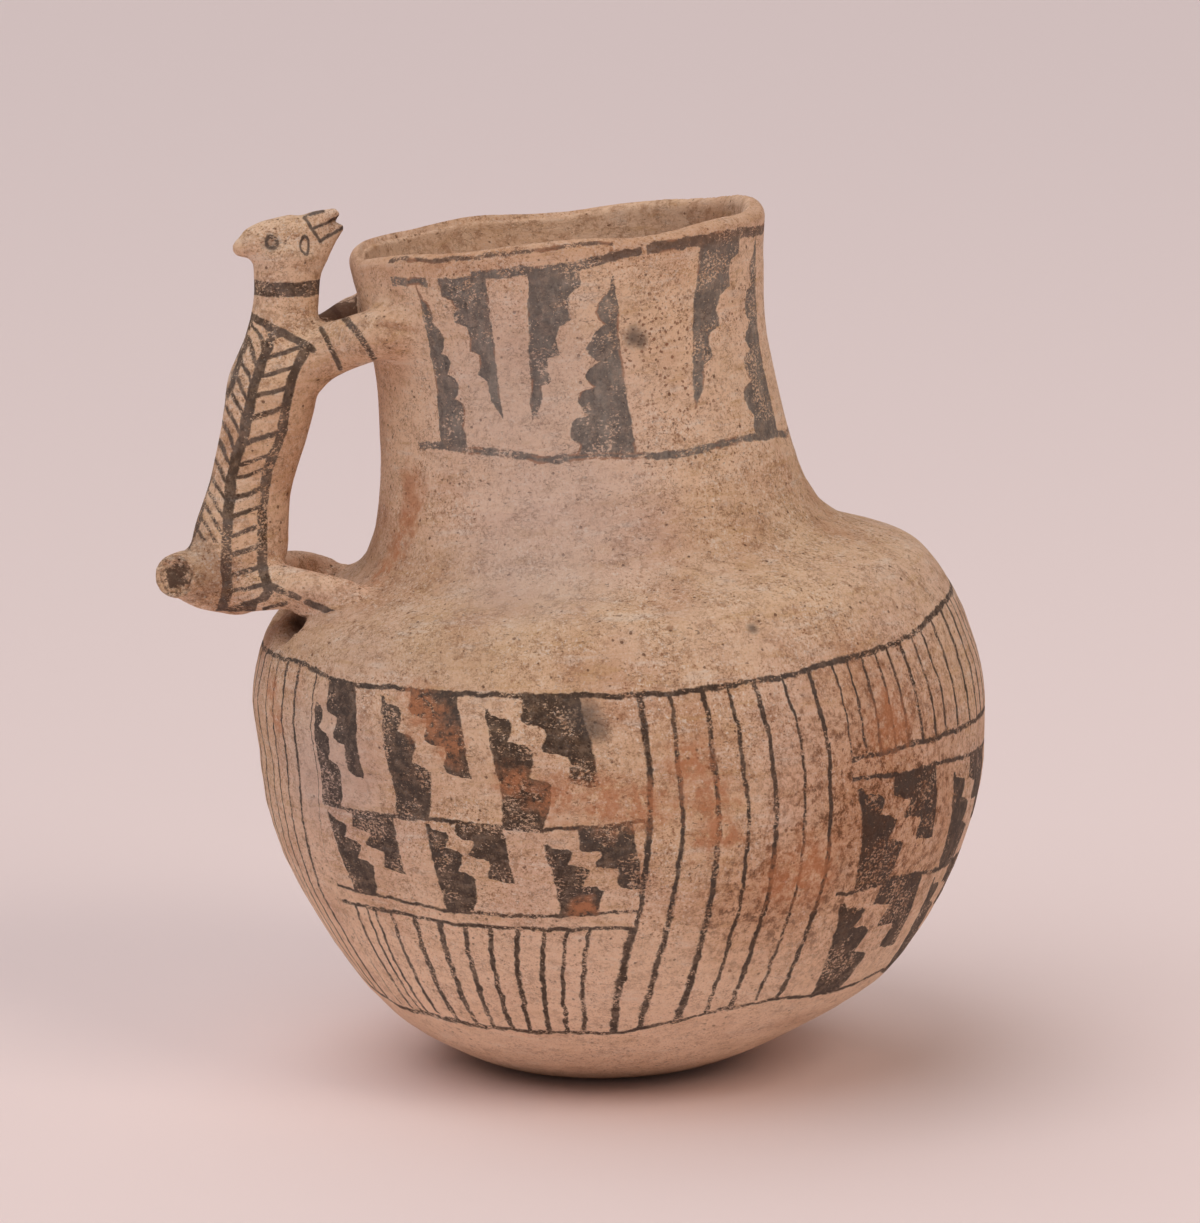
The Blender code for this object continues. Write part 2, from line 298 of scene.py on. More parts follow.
def moved_in(outline, depth):
    """An outline moved in from the outside by a depth."""
    along = np.gradient(outline, axis=0)
    along /= np.linalg.norm(along, axis=1, keepdims=True)
    return outline + depth * np.stack([-along[:, 1], along[:, 0]], axis=1)


OUTSIDE = outer_outline()
lip_turn = np.linspace(0.0, math.pi, LIP_STEPS + 2)[1:-1]
LIP = np.stack([
    OUTSIDE[-1, 0] - WALL / 2 + WALL / 2 * np.cos(lip_turn),
    OUTSIDE[-1, 1] + WALL / 2 * np.sin(lip_turn),
], axis=1)
inner_wall = moved_in(OUTSIDE, WALL)[::-1]
inner_wall = inner_wall[inner_wall[:, 1] > FLOOR + WALL / 2]
floor_edge = inner_wall[-1, 0] - (inner_wall[-1, 1] - FLOOR)
INSIDE = np.concatenate([inner_wall, [(floor_edge, FLOOR)]])
SECTION = np.concatenate([[(0.0, 0.0)], OUTSIDE, LIP, INSIDE, [(0.0, FLOOR)]])
print("the section has", len(SECTION), "points")

# %% [markdown]
# ## Turning the pot with Geometry Nodes
#
# A pot is a surface of revolution: one section, turned around an axis. The tree below starts from a
# plain grid. Across the grid runs the way around the pot, and up the grid runs the way along the
# section. Each point of the grid asks the section curve where it is, and moves there. The numbers of
# steps each way are named inputs, so the fineness can be changed without touching the tree.

# %% Build the node tree and turn the vessel
STEPS_AROUND, STEPS_ALONG = 220, 300
SEAM_REACH, WELD_REACH = 0.00001, 0.000005


def tree_maker(name):
    """A new Geometry Nodes tree, and a helper that adds a node with its settings and its inputs."""
    tree = bpy.data.node_groups.new(name, "GeometryNodeTree")
    tree.is_modifier = True

    def add(kind, settings=None, values=None):
        node = tree.nodes.new(kind)
        for key, value in (settings or {}).items():
            setattr(node, key, value)
        for key, value in (values or {}).items():
            if isinstance(value, bpy.types.NodeSocket):
                tree.links.new(value, node.inputs[key])
            else:
                node.inputs[key].default_value = value
        return node

    return tree, add


def turning_tree():
    """The tree that turns a section curve into a closed skin around the Z axis."""
    tree, add = tree_maker("turned_vessel")
    face = tree.interface
    face.new_socket("Geometry", in_out="INPUT", socket_type="NodeSocketGeometry")
    for label in ("Steps Around", "Steps Along"):
        face.new_socket(label, in_out="INPUT", socket_type="NodeSocketInt")
    face.new_socket("Clay", in_out="INPUT", socket_type="NodeSocketMaterial")
    face.new_socket("Geometry", in_out="OUTPUT", socket_type="NodeSocketGeometry")
    given = add("NodeGroupInput").outputs

    def worked_out(operation, *inputs):
        return add("ShaderNodeMath", {"operation": operation}, dict(enumerate(inputs))).outputs[0]

    grid = add("GeometryNodeMeshGrid", None, {
        "Size X": 1.0, "Size Y": 1.0,
        "Vertices X": worked_out("ADD", given["Steps Around"], 1.0), "Vertices Y": given["Steps Along"],
    })
    flat = add("ShaderNodeSeparateXYZ", None, {0: add("GeometryNodeInputPosition").outputs[0]}).outputs
    turn = worked_out("MULTIPLY", flat["X"], 2 * math.pi)
    curve = add("GeometryNodeSampleCurve", {"mode": "FACTOR"}, {
        "Curves": given["Geometry"], "Factor": worked_out("ADD", flat["Y"], 0.5),
    })
    spot = add("ShaderNodeSeparateXYZ", None, {0: curve.outputs["Position"]}).outputs
    x, y = (worked_out("MULTIPLY", worked_out(wave, turn), spot["X"]) for wave in ("COSINE", "SINE"))
    target = add("ShaderNodeCombineXYZ", None, {"X": x, "Y": y, "Z": spot["Z"]})
    made = grid.outputs["Mesh"]
    for kind, values in (
        ("SetPosition", {"Position": target.outputs[0]}),
        ("MergeByDistance", {"Distance": SEAM_REACH}),
        ("SetMaterial", {"Material": given["Clay"]}),
    ):
        made = add("GeometryNode" + kind, None, {"Geometry": made, **values}).outputs[0]
    add("NodeGroupOutput", None, {"Geometry": made})
    return tree


def as_mesh(item):
    """The closed mesh that an object's curve or modifiers make. The object itself is removed."""
    bpy.context.view_layer.update()
    mesh = bpy.data.meshes.new_from_object(item.evaluated_get(bpy.context.evaluated_depsgraph_get()))
    bpy.data.objects.remove(item, do_unlink=True)
    work = bmesh.new()
    work.from_mesh(mesh)
    bmesh.ops.remove_doubles(work, verts=work.verts, dist=WELD_REACH)
    bmesh.ops.recalc_face_normals(work, faces=work.faces)
    work.to_mesh(mesh)
    work.free()
    return mesh


def curve_through(name, rows):
    """A curve of straight stretches through rows of X, Y, Z and thickness."""
    curve = bpy.data.curves.new(name, "CURVE")
    curve.dimensions = "3D"
    spline = curve.splines.new("POLY")
    spline.points.add(len(rows) - 1)
    for point, (x, y, z, radius) in zip(spline.points, rows):
        point.co = (x, y, z, 1.0)
        point.radius = radius
    return curve


def turned_vessel(steps_around, steps_along, clay):
    """The hollow vessel, true and upright, turned from its section in the XZ plane."""
    section = curve_through("section", [(radius, 0.0, height, 1.0) for radius, height in SECTION])
    item = new_object("vessel", section)
    change = item.modifiers.new("turn", "NODES")
    change.node_group = turning_tree()
    given = {"Steps Around": steps_around, "Steps Along": steps_along, "Clay": clay}
    for socket in change.node_group.interface.items_tree:
        if socket.in_out == "INPUT" and socket.name in given:
            change[socket.identifier] = given[socket.name]
    return as_mesh(item)


def read_rows(items, label, width, kind=float):
    """A value of every point, edge or corner of a mesh, one row each."""
    flat = np.empty(len(items) * width, dtype=kind)
    items.foreach_get(label, flat)
    return flat.reshape(-1, width)


def coordinates(mesh):
    """All vertex positions of a mesh, one row each."""
    return read_rows(mesh.vertices, "co", 3)


def put_coordinates(mesh, points):
    """Moves all vertices of a mesh."""
    mesh.vertices.foreach_set("co", np.ascontiguousarray(points, dtype=np.float32).ravel())
    mesh.update()


pot_clay = bpy.data.materials.new("painted_pot")
vessel = turned_vessel(STEPS_AROUND, STEPS_ALONG, pot_clay)
put_coordinates(vessel, leaned(coordinates(vessel)))
print("turned vessel:", len(vessel.vertices), "points")

# %% [markdown]
# ## The animal
#
# The handle was rolled and pinched from a few sausages of wet clay: a trunk, a head with a jaw, four
# legs and a tail that broke off long ago. Each is a round tube that follows a smooth route and gets
# thicker and thinner on its way. All places are shares of the animal's height, in its own
# directions: out from the pot's neck, to its near side, and up.

# %% Name the animal's sizes
ANIMAL_TURN = math.radians(10)
ANIMAL_HEIGHT = 0.0800
TRUNK_RADIUS = 0.0087
ANIMAL_NECK_RADIUS = 0.0067
RUMP_RADIUS = 0.0080
FORELEG_RADIUS = 0.0050
HIND_LEG_RADIUS = 0.0036
HEAD_RADIUS = 0.0049
TAIL_RADIUS = 0.0046
RUMP_DROP = 0.147
FOREFEET_SPREAD = math.radians(30)
FOREFEET_BELOW_RIM = 0.0149
FOREFEET_APPROACH = math.radians(7)
HIND_FEET_SPREAD = math.radians(18)
HIND_FEET_BELOW_NECK = 0.0060
FEET_DEPTH = 0.4 * WALL


def wall_point(turn, height, inside=0.0):
    """A point on the pot's outer wall, or inside it, at an angle from -X towards -Y."""
    radius = np.interp(height, OUTSIDE[:, 1], OUTSIDE[:, 0]) - inside
    return leaned([(-radius * math.cos(turn), -radius * math.sin(turn), height)])[0]


AWAY = np.array([-math.cos(ANIMAL_TURN), -math.sin(ANIMAL_TURN), 0.0])
BESIDE = np.array([math.sin(ANIMAL_TURN), -math.cos(ANIMAL_TURN), 0.0])
UPWARD = np.array([0.0, 0.0, 1.0])
neck_spot = wall_point(ANIMAL_TURN, NECK_FOOT + NECK_WAIST * NECK_LENGTH)
rump_level = wall_point(ANIMAL_TURN, NECK_FOOT)[2] - RUMP_DROP * ANIMAL_HEIGHT
ANIMAL_START = np.array([neck_spot[0], neck_spot[1], rump_level])
print("the animal is measured from", (ANIMAL_START / MM).round(1), "mm")

# %% Roll the trunk, the head, the legs and the tail
LIMB_STEPS, LIMB_ROUNDNESS = 8, 10
END_ANGLES = np.radians([20, 40, 58, 72, 83])


def animal_point(out, side, up):
    """A point of the animal in shares of its height: out from the neck, to its near side, and up."""
    return ANIMAL_START + ANIMAL_HEIGHT * (out * AWAY + side * BESIDE + up * UPWARD)


def round_end(end, inner):
    """The dome that closes a route beyond its end."""
    point, radius = end[:3], end[3]
    ahead = (point - inner[:3]) / np.linalg.norm(point - inner[:3])
    return [np.append(point + ahead * radius * math.sin(a), radius * math.cos(a)) for a in END_ANGLES]


def limb(name, knots, broken=False):
    """A round tapering roll of clay through knots of a point and a radius, as a closed mesh."""
    route = smooth_points([np.append(point, radius) for point, radius in knots], LIMB_STEPS)
    far_end = [] if broken else round_end(route[-1], route[-2])
    curve = curve_through(name, round_end(route[0], route[1])[::-1] + list(route) + far_end)
    curve.bevel_depth = 1.0
    curve.bevel_resolution = LIMB_ROUNDNESS
    curve.use_fill_caps = True
    return as_mesh(new_object(name, curve))


def middle_knots(*rows):
    """Knots in the animal's upright middle plane, from rows of out, up and radius."""
    return [(animal_point(out, 0.0, up), radius) for out, up, radius in rows]


def trunk_and_head():
    """The body with its neck, the skull with its crest, the lower jaw and the nape under the crest."""
    body = middle_knots(
        (0.352, 0.101, RUMP_RADIUS),
        (0.342, 0.181, RUMP_RADIUS * 1.22),
        (0.314, 0.330, TRUNK_RADIUS * 0.95),
        (0.276, 0.477, TRUNK_RADIUS * 1.02),
        (0.257, 0.575, TRUNK_RADIUS * 1.05),
        (0.237, 0.677, TRUNK_RADIUS * 0.86),
        (0.224, 0.775, ANIMAL_NECK_RADIUS),
        (0.220, 0.860, ANIMAL_NECK_RADIUS * 1.03),
        (0.217, 0.905, ANIMAL_NECK_RADIUS * 1.05),
        (0.213, 0.930, ANIMAL_NECK_RADIUS * 0.60),
    )
    skull = middle_knots(
        (0.330, 0.913, HEAD_RADIUS * 0.45),
        (0.310, 0.919, HEAD_RADIUS * 0.74),
        (0.266, 0.926, HEAD_RADIUS * 0.94),
        (0.184, 0.939, HEAD_RADIUS),
        (0.140, 0.971, HEAD_RADIUS * 0.60),
        (0.106, 0.988, HEAD_RADIUS * 0.37),
    )
    jaw = middle_knots(
        (0.222, 0.859, ANIMAL_NECK_RADIUS * 0.87),
        (0.167, 0.903, HEAD_RADIUS * 1.00),
        (0.125, 0.935, HEAD_RADIUS * 0.58),
        (0.092, 0.958, HEAD_RADIUS * 0.29),
    )
    nape = middle_knots(
        (0.274, 0.902, HEAD_RADIUS * 0.67),
        (0.246, 0.857, ANIMAL_NECK_RADIUS * 0.80),
        (0.230, 0.810, ANIMAL_NECK_RADIUS * 0.84),
    )
    return [limb("trunk", body), limb("skull", skull), limb("jaw", jaw), limb("nape", nape)]


TAIL_TURN = animal_point(0.486, 0.052, 0.115)
TAIL_END = animal_point(0.516, 0.102, 0.119)


def broken_tail():
    """The stub of the tail, its broken end turned to the animal's near side."""
    return limb("tail", [
        (animal_point(0.352, 0.0, 0.097), RUMP_RADIUS * 0.95),
        (animal_point(0.430, 0.016, 0.104), TAIL_RADIUS * 1.48),
        (TAIL_TURN, TAIL_RADIUS * 1.10),
        (TAIL_END, TAIL_RADIUS * 0.96),
    ], broken=True)


def legs_of(side):
    """The foreleg onto the neck and the hind leg onto the shoulder, on the near (1) or far (-1) side."""
    fore_turn = ANIMAL_TURN + side * FOREFEET_SPREAD
    fore_height = TOP - FOREFEET_BELOW_RIM
    before_foot = wall_point(fore_turn - side * FOREFEET_APPROACH, fore_height, -0.4 * FORELEG_RADIUS)
    foreleg = [
        (animal_point(0.256, side * 0.010, 0.565), FORELEG_RADIUS * 1.50),
        (animal_point(0.178, side * 0.045, 0.640), FORELEG_RADIUS * 1.32),
        (animal_point(0.103, side * 0.090, 0.677), FORELEG_RADIUS * 1.08),
        (before_foot, FORELEG_RADIUS),
        (wall_point(fore_turn, fore_height, FEET_DEPTH), FORELEG_RADIUS * 0.70),
    ]
    hind_turn = ANIMAL_TURN + side * HIND_FEET_SPREAD
    hind_height = NECK_FOOT - HIND_FEET_BELOW_NECK
    hind_leg = [
        (animal_point(0.340, side * 0.030, 0.091), HIND_LEG_RADIUS * 1.80),
        (animal_point(0.250, side * 0.110, 0.088), HIND_LEG_RADIUS * 1.32),
        (animal_point(0.166, side * 0.182, 0.086), HIND_LEG_RADIUS * 1.08),
        (wall_point(hind_turn, hind_height), HIND_LEG_RADIUS),
        (wall_point(hind_turn, hind_height, FEET_DEPTH), HIND_LEG_RADIUS * 0.70),
    ]
    return [limb("foreleg", foreleg), limb("hind_leg", hind_leg)]


rolls = trunk_and_head() + [broken_tail()] + legs_of(1) + legs_of(-1)
print("rolls of clay:", [mesh.name for mesh in rolls])

# %% [markdown]
# ## Pressing the clay together
#
# Wet clay has no seams. The vessel and the rolls are thrown into one mesh, and a voxel remesh gives
# them one common skin, as a Boolean union would, but with even faces that can be worked further.

# %% Make one skin
GRAIN = 0.00075


def gathered(meshes):
    """Several meshes as one."""
    work = bmesh.new()
    for mesh in meshes:
        work.from_mesh(mesh)
    together = bpy.data.meshes.new("together")
    work.to_mesh(together)
    work.free()
    return together


def one_skin(meshes, grain):
    """One even skin around closed meshes that overlap."""
    item = new_object("skin", gathered(meshes))
    knead = item.modifiers.new("knead", "REMESH")
    knead.mode = "VOXEL"
    knead.voxel_size = grain
    return as_mesh(item)


animal = gathered(rolls)
skin = one_skin([vessel, animal], GRAIN)
print("one skin:", len(skin.vertices), "points")

# %% [markdown]
# ## Thumbed-in joints
#
# Where a leg meets the neck, the potter pressed extra clay into the corner. A fill that only ever
# adds clay does the same: each point near a joint moves towards the middle of its neighbours, but
# only if that takes it outwards. Hollow corners fill up, and round parts keep their thickness. The
# animal's own joints, such as leg to trunk, get a weaker fill, and the head almost none.

# %% Fill the corners of the joints
JOINT_REACH = 0.0058
FILL_ROUNDS, ROUNDS_PER_NORMAL = 40, 10
FILL_PULL, CALM_PULL, FILL_FADE = 0.5, 0.03, 1.3
OWN_JOINTS, HEAD_JOINTS = 0.55, 0.15
HEAD_FROM = 0.84


def neighbour_pull(points, edges, count):
    """For each point, the way to the middle of its neighbours."""
    total = np.zeros((count, 3))
    both = np.concatenate([edges, edges[:, ::-1]])
    for axis in range(3):
        total[:, axis] = np.bincount(both[:, 0], weights=points[both[:, 1], axis], minlength=count)
    many = np.bincount(both[:, 0], minlength=count)
    return np.where(many[:, None] > 0, total / np.maximum(many, 1)[:, None] - points, 0.0)


def edges_among(mesh, chosen):
    """The two ends of every edge that lies between chosen points."""
    pairs = read_rows(mesh.edges, "vertices", 2, np.int32)
    return pairs[chosen[pairs[:, 0]] & chosen[pairs[:, 1]]]


def normals_of(mesh):
    """The outward direction at every vertex."""
    return read_rows(mesh.vertex_normals, "vector", 3)


def distance_to(mesh, points, reach):
    """How far each point is from a mesh; beyond the reach it is just the reach."""
    work = bmesh.new()
    work.from_mesh(mesh)
    tree = BVHTree.FromBMesh(work)
    work.free()
    spots = coordinates(mesh)
    low, high = spots.min(axis=0) - reach, spots.max(axis=0) + reach
    near = np.flatnonzero(np.all((points > low) & (points < high), axis=1))
    found = np.full(len(points), reach)
    for i in near:
        hit = tree.find_nearest(points[i], reach)
        if hit[0] is not None:
            found[i] = hit[3]
    return found


points = coordinates(skin)
from_animal = distance_to(animal, points, JOINT_REACH)
near = from_animal < JOINT_REACH
from_vessel = np.full(len(points), JOINT_REACH)
from_vessel[near] = distance_to(vessel, points[near], JOINT_REACH)
height_share = (points[:, 2] - ANIMAL_START[2]) / ANIMAL_HEIGHT
own = np.where(height_share > HEAD_FROM, HEAD_JOINTS, OWN_JOINTS) * (from_animal < MM)
from_corner = np.maximum(from_animal, from_vessel) / JOINT_REACH
strength = np.maximum(np.clip(FILL_FADE * (1 - from_corner), 0, 1), own)
edges = edges_among(skin, near)
for step in range(FILL_ROUNDS):
    if step % ROUNDS_PER_NORMAL == 0:
        put_coordinates(skin, points)
        outward = normals_of(skin)
    pull = neighbour_pull(points, edges, len(points))
    lift = np.einsum("ij,ij->i", pull, outward)
    share = np.where(lift > 0, FILL_PULL, CALM_PULL) * strength
    points[near] += (share[:, None] * pull)[near]
put_coordinates(skin, points)
print("points worked over:", int(near.sum()))

# %% [markdown]
# ## Fewer faces, and a true wall again
#
# The even skin has far more faces than it needs. Collapsing the short edges on flat stretches keeps
# the form. The remesh also left faint steps on the vessel, so every point of the vessel goes back to
# its exact place on the section.

# %% Collapse the mesh and true up the vessel
MOST_TRIANGLES = 130000
INNER_START = 1 + len(OUTSIDE) + len(LIP) // 2
TRUE_FROM, TRUE_TO = 0.9 * JOINT_REACH, 1.4 * JOINT_REACH
ON_THE_AXIS = 0.000001


def thinned(mesh, most):
    """The mesh with its short edges collapsed until it has no more triangles than this."""
    triangles = sum(len(face.vertices) - 2 for face in mesh.polygons)
    item = new_object("thinned", mesh)
    even = item.modifiers.new("even", "TRIANGULATE")
    even.quad_method = "SHORTEST_DIAGONAL"
    fewer = item.modifiers.new("fewer", "DECIMATE")
    fewer.ratio = min(1.0, most / triangles)
    return as_mesh(item)


def nearest_on_section(radius, height):
    """The nearest point of the section to each point, its distance, and its place along the section."""
    best = np.full(len(radius), np.inf)
    found = np.zeros((len(radius), 2))
    along = np.zeros(len(radius))
    spots = np.stack([radius, height], axis=1)
    for i in range(len(SECTION) - 1):
        start, way = SECTION[i], SECTION[i + 1] - SECTION[i]
        t = np.clip((spots - start) @ way / (way @ way), 0, 1)
        foot = start + t[:, None] * way
        gap = np.linalg.norm(spots - foot, axis=1)
        closer = gap < best
        best[closer] = gap[closer]
        found[closer] = foot[closer]
        along[closer] = i + t[closer]
    return found, best, along


def survey(mesh):
    """Where a mesh's points lie: straightened, inside or out, and next to the section and the animal."""
    points = coordinates(mesh)
    true = straightened(points)
    radius = np.hypot(true[:, 0], true[:, 1])
    on_section, off_section, along_section = nearest_on_section(radius, true[:, 2])
    from_animal = distance_to(animal, points, 2 * JOINT_REACH)
    return points, true, along_section > INNER_START, off_section, from_animal, radius, on_section


def blend_between(value, low, high):
    """0 below low, 1 above high, and a soft change between them."""
    t = np.clip((value - low) / (high - low), 0, 1)
    return t * t * (3 - 2 * t)


skin = thinned(skin, MOST_TRIANGLES)
points, true, is_inside, off_section, from_animal, radius, on_section = survey(skin)
vessel_share = blend_between(from_animal, TRUE_FROM, TRUE_TO)
vessel_share[is_inside] = 1.0
pull_in = np.where(radius > ON_THE_AXIS, on_section[:, 0] / np.maximum(radius, ON_THE_AXIS), 1.0)
snapped = np.stack([true[:, 0] * pull_in, true[:, 1] * pull_in, on_section[:, 1]], axis=1)
true += vessel_share[:, None] * (snapped - true)
put_coordinates(skin, leaned(true))
print("thinned skin:", len(skin.polygons), "triangles")

# %% [markdown]
# ## A finer animal
#
# The animal is small, and its mouth, its broken tail and the pressed places around its feet need a
# finer mesh than the pot does. Its faces are split in four. A few rounds of smoothing, one step
# inwards and one step back out, take the facets away without making the limbs thinner.

# %% Split the faces of the animal
OFF_THE_WALL = 0.0008
SPLIT_WITHIN, ANIMAL_WITHIN = 0.0016, 0.0020
SMOOTH_ROUNDS, SMOOTH_IN, SMOOTH_OUT = 12, 0.5, -0.48
is_animal = (from_animal < SPLIT_WITHIN) & ~is_inside & (off_section > OFF_THE_WALL)
work = bmesh.new()
work.from_mesh(skin)
work.verts.ensure_lookup_table()
split = {edge for i in np.flatnonzero(is_animal) for edge in work.verts[int(i)].link_edges}
split = sorted(split, key=lambda edge: edge.index)
bmesh.ops.subdivide_edges(work, edges=split, cuts=1, use_grid_fill=True)
bmesh.ops.triangulate(work, faces=[face for face in work.faces if len(face.verts) > 3])
work.to_mesh(skin)
work.free()
points, true, is_inside, off_section, from_animal, *_ = survey(skin)
near = (from_animal < JOINT_REACH) & ~is_inside
edges = edges_among(skin, near)
for step in range(SMOOTH_ROUNDS):
    pull = neighbour_pull(points, edges, len(points))
    points[near] += (pull * (SMOOTH_IN if step % 2 == 0 else SMOOTH_OUT))[near]
put_coordinates(skin, points)
print("with the finer animal:", len(skin.polygons), "triangles")

# %% [markdown]
# ## What hands, a rag and time leave behind
#
# The pot now gets shallow dents, the drag of a wet rag around the shoulder, and a lip that is nowhere
# quite even. On the animal, the mouth is a cut, the tail's end is a rough break, the eyes are pressed
# in, and two hollows lie under the hind legs, where they bend over the shoulder. All of this only
# takes clay away, so the pitcher stays inside its measured box.

# %% Dent, cut and press
DENTS = (
    # how fine across and up, where the noise starts, depth in millimetres
    (0.030, 0.036, 0, 0.34), (0.085, 0.110, 40, 0.18), (0.045, 0.420, 90, 0.12), (0.260, 0.380, 7, 0.06),
)
DENT_REACH, DENTS_INSIDE, DENTS_ON_ANIMAL = 0.42, 0.4, 0.55
MOUTH = ((5.0, 78.5), (8.8, 77.9))
MOUTH_HALF_WIDTH, MOUTH_DEPTH = 0.55, 1.1
EYE_PRESSES = ((21.1, 74.3), (14.6, 73.9))
EYE_RADIUS, EYE_DEPTH = 1.3, 0.35
CREASES = (
    # from and to, out and up in the side view, half width and depth in millimetres
    ((-4.3, 58.2), (1.6, 59.6), 0.7, 0.8),
    ((38.1, 13.5), (37.5, 10.9), 0.8, 0.5),
    ((37.5, 10.9), (38.3, 7.8), 0.8, 0.5),
    ((38.3, 7.8), (41.1, 6.5), 0.8, 0.5),
)
TAIL_BEHIND, TAIL_AROUND, TAIL_FACING = 0.9, 6.0, 0.5
TAIL_CUT, TAIL_DISH, TAIL_DISH_RADIUS = 0.9, 0.8, 3.2
LIP_THINNING, LIP_HEIGHTS, LIP_ON_THE_LEFT = 1.3, (0.158, 0.166), (-0.030, 0.020)
FOOT_SPARED = (0.0006, 0.0040)
HOLLOWS = (
    # degrees from the front, height, radius and depth in millimetres
    (-72, 98.3, 4.6, 4.6),
    (-88, 98.6, 4.2, 2.8),
)


def groove(flat, start, end, half_width):
    """1 on a line of the animal's side view and 0 beyond its half width."""
    start, way = np.array(start), np.subtract(end, start)
    t = np.clip((flat - start) @ way / (way @ way), 0, 1)
    away = np.linalg.norm(flat - start - t[:, None] * way, axis=1)
    return np.exp(-((away / half_width) ** 2))


def outside_place(turn, height, inset=0.0):
    """A place on the straightened outside, in millimetres, at some degrees from the front."""
    radius = np.interp(height * MM, OUTSIDE[:, 1], OUTSIDE[:, 0]) / MM - inset
    angle = math.radians(turn)
    return radius * math.sin(angle), -radius * math.cos(angle), height


outward = normals_of(skin)
dents = np.array([
    sum(deep * noise.noise((x * across, y * across, z * up + start)) for across, up, start, deep in DENTS)
    for x, y, z in true / MM
])
on_animal = (from_animal < ANIMAL_WITHIN) & (off_section > OFF_THE_WALL) & ~is_inside
depth = DENT_REACH - np.clip(dents, -DENT_REACH, DENT_REACH)
depth *= np.where(is_inside, DENTS_INSIDE, np.where(on_animal, DENTS_ON_ANIMAL, 1.0))

own_view = (points - ANIMAL_START) @ np.stack([AWAY, BESIDE, UPWARD], axis=1) / MM
flat = own_view[:, [0, 2]]
depth[on_animal] += (MOUTH_DEPTH * groove(flat, *MOUTH, MOUTH_HALF_WIDTH))[on_animal]
for spot in EYE_PRESSES:
    press = np.exp(-((np.linalg.norm(flat - spot, axis=1) / EYE_RADIUS) ** 2))
    depth[on_animal] += (EYE_DEPTH * press)[on_animal]
near_side = (own_view[:, 1] > 0) & ~is_inside
for start, end, half_width, deep in CREASES:
    depth[near_side] += (deep * groove(flat, start, end, half_width))[near_side]

tail_way = (TAIL_END - TAIL_TURN) / np.linalg.norm(TAIL_END - TAIL_TURN)
past_tail = (points - TAIL_END) @ tail_way / MM
from_tail = np.linalg.norm(points - TAIL_END, axis=1) / MM
tail_face = on_animal & (past_tail > -TAIL_BEHIND) & (from_tail < TAIL_AROUND)
tail_face &= outward @ tail_way > TAIL_FACING
for i in np.flatnonzero(tail_face):
    spot = Vector(points[i]) / MM
    chip = noise.noise(spot * 0.9) + 0.6 * noise.noise(spot * 2.1)
    depth[i] += TAIL_CUT + chip + TAIL_DISH * max(0.0, 1 - from_tail[i] / TAIL_DISH_RADIUS)

for turn, height, size, deep in HOLLOWS:
    away = np.linalg.norm(true / MM - outside_place(turn, height), axis=1)
    depth += np.where(is_inside | on_animal, 0.0, deep * np.exp(-((away / size) ** 4)))

thin_lip = blend_between(true[:, 2], *LIP_HEIGHTS) * blend_between(-true[:, 0], *LIP_ON_THE_LEFT)
depth += LIP_THINNING * is_inside * thin_lip
depth *= blend_between(points[:, 2], *FOOT_SPARED) * MM
points -= depth[:, None] * outward
points[:, 2] = np.maximum(points[:, 2], 0.0)
put_coordinates(skin, points)
print("deepest press:", round(float(depth.max()) / MM, 1), "mm")

# %% [markdown]
# ## Where the painter worked
#
# The painting needs two things at every point: where the point was before the pot leaned, and
# whether it is the outside, the animal or the inside. The first is stored as an attribute on the
# mesh, in millimetres, and the second picks the material of each face.

# %% Store the straightened place and sort the faces
straight_mm = straightened(points) / MM
store = skin.attributes.new("straight", "FLOAT_VECTOR", "POINT")
store.data.foreach_set("vector", straight_mm.astype(np.float32).ravel())

NECK_BELT_FROM = 118.0
ANIMAL_SLOT, INSIDE_SLOT = 2, 3
neck_clay, animal_clay, bare_clay = (
    bpy.data.materials.new(name) for name in ("painted_neck", "painted_animal", "bare_inside")
)
skin.materials.clear()
for clay in (pot_clay, neck_clay, animal_clay, bare_clay):
    skin.materials.append(clay)

corners = read_rows(skin.loops, "vertex_index", 1, np.int32).reshape(-1, 3)
face_slot = (straight_mm[corners, 2].min(axis=1) > NECK_BELT_FROM).astype(np.int32)
face_slot[on_animal[corners].any(axis=1)] = ANIMAL_SLOT
face_slot[is_inside[corners].all(axis=1)] = INSIDE_SLOT
skin.polygons.foreach_set("material_index", face_slot)
skin.shade_smooth()
pitcher = new_object("painted_pitcher", skin)
print("faces of body, neck, animal and inside:", np.bincount(face_slot).tolist())

# %% [markdown]
# ## Painting with arithmetic
#
# The real pot was painted with a brush and a mineral ink. Here the paint is worked out at every
# point of the surface, so it needs no picture. A small class wraps a socket of a node, and Python's
# operators on it add Math nodes, so a pattern reads like a formula. A second class stands for one
# material. It adds all other nodes, and its method `lay` covers the colour so far with a tint.

# %% Define the painting tools


def math_method(operation):
    """A method that adds a Math node for this operation."""
    return lambda field, *others: field.math(operation, *others)


class Field:
    """A number that changes over the surface. Arithmetic on it adds Math nodes."""

    def __init__(self, paint, socket):
        self.paint, self.socket = paint, socket

    def math(self, operation, *others):
        """Adds a Math node that works on this field and others."""
        return self.paint.node("Math", {"operation": operation}, dict(enumerate((self, *others))))

    def __rsub__(self, other):
        return self.paint.node("Math", {"operation": "SUBTRACT"}, {0: other, 1: self})

    __add__ = __radd__ = math_method("ADD")
    __mul__ = __rmul__ = math_method("MULTIPLY")
    __sub__, __truediv__ = math_method("SUBTRACT"), math_method("DIVIDE")
    __lt__, __gt__, __abs__ = (math_method(name) for name in ("LESS_THAN", "GREATER_THAN", "ABSOLUTE"))


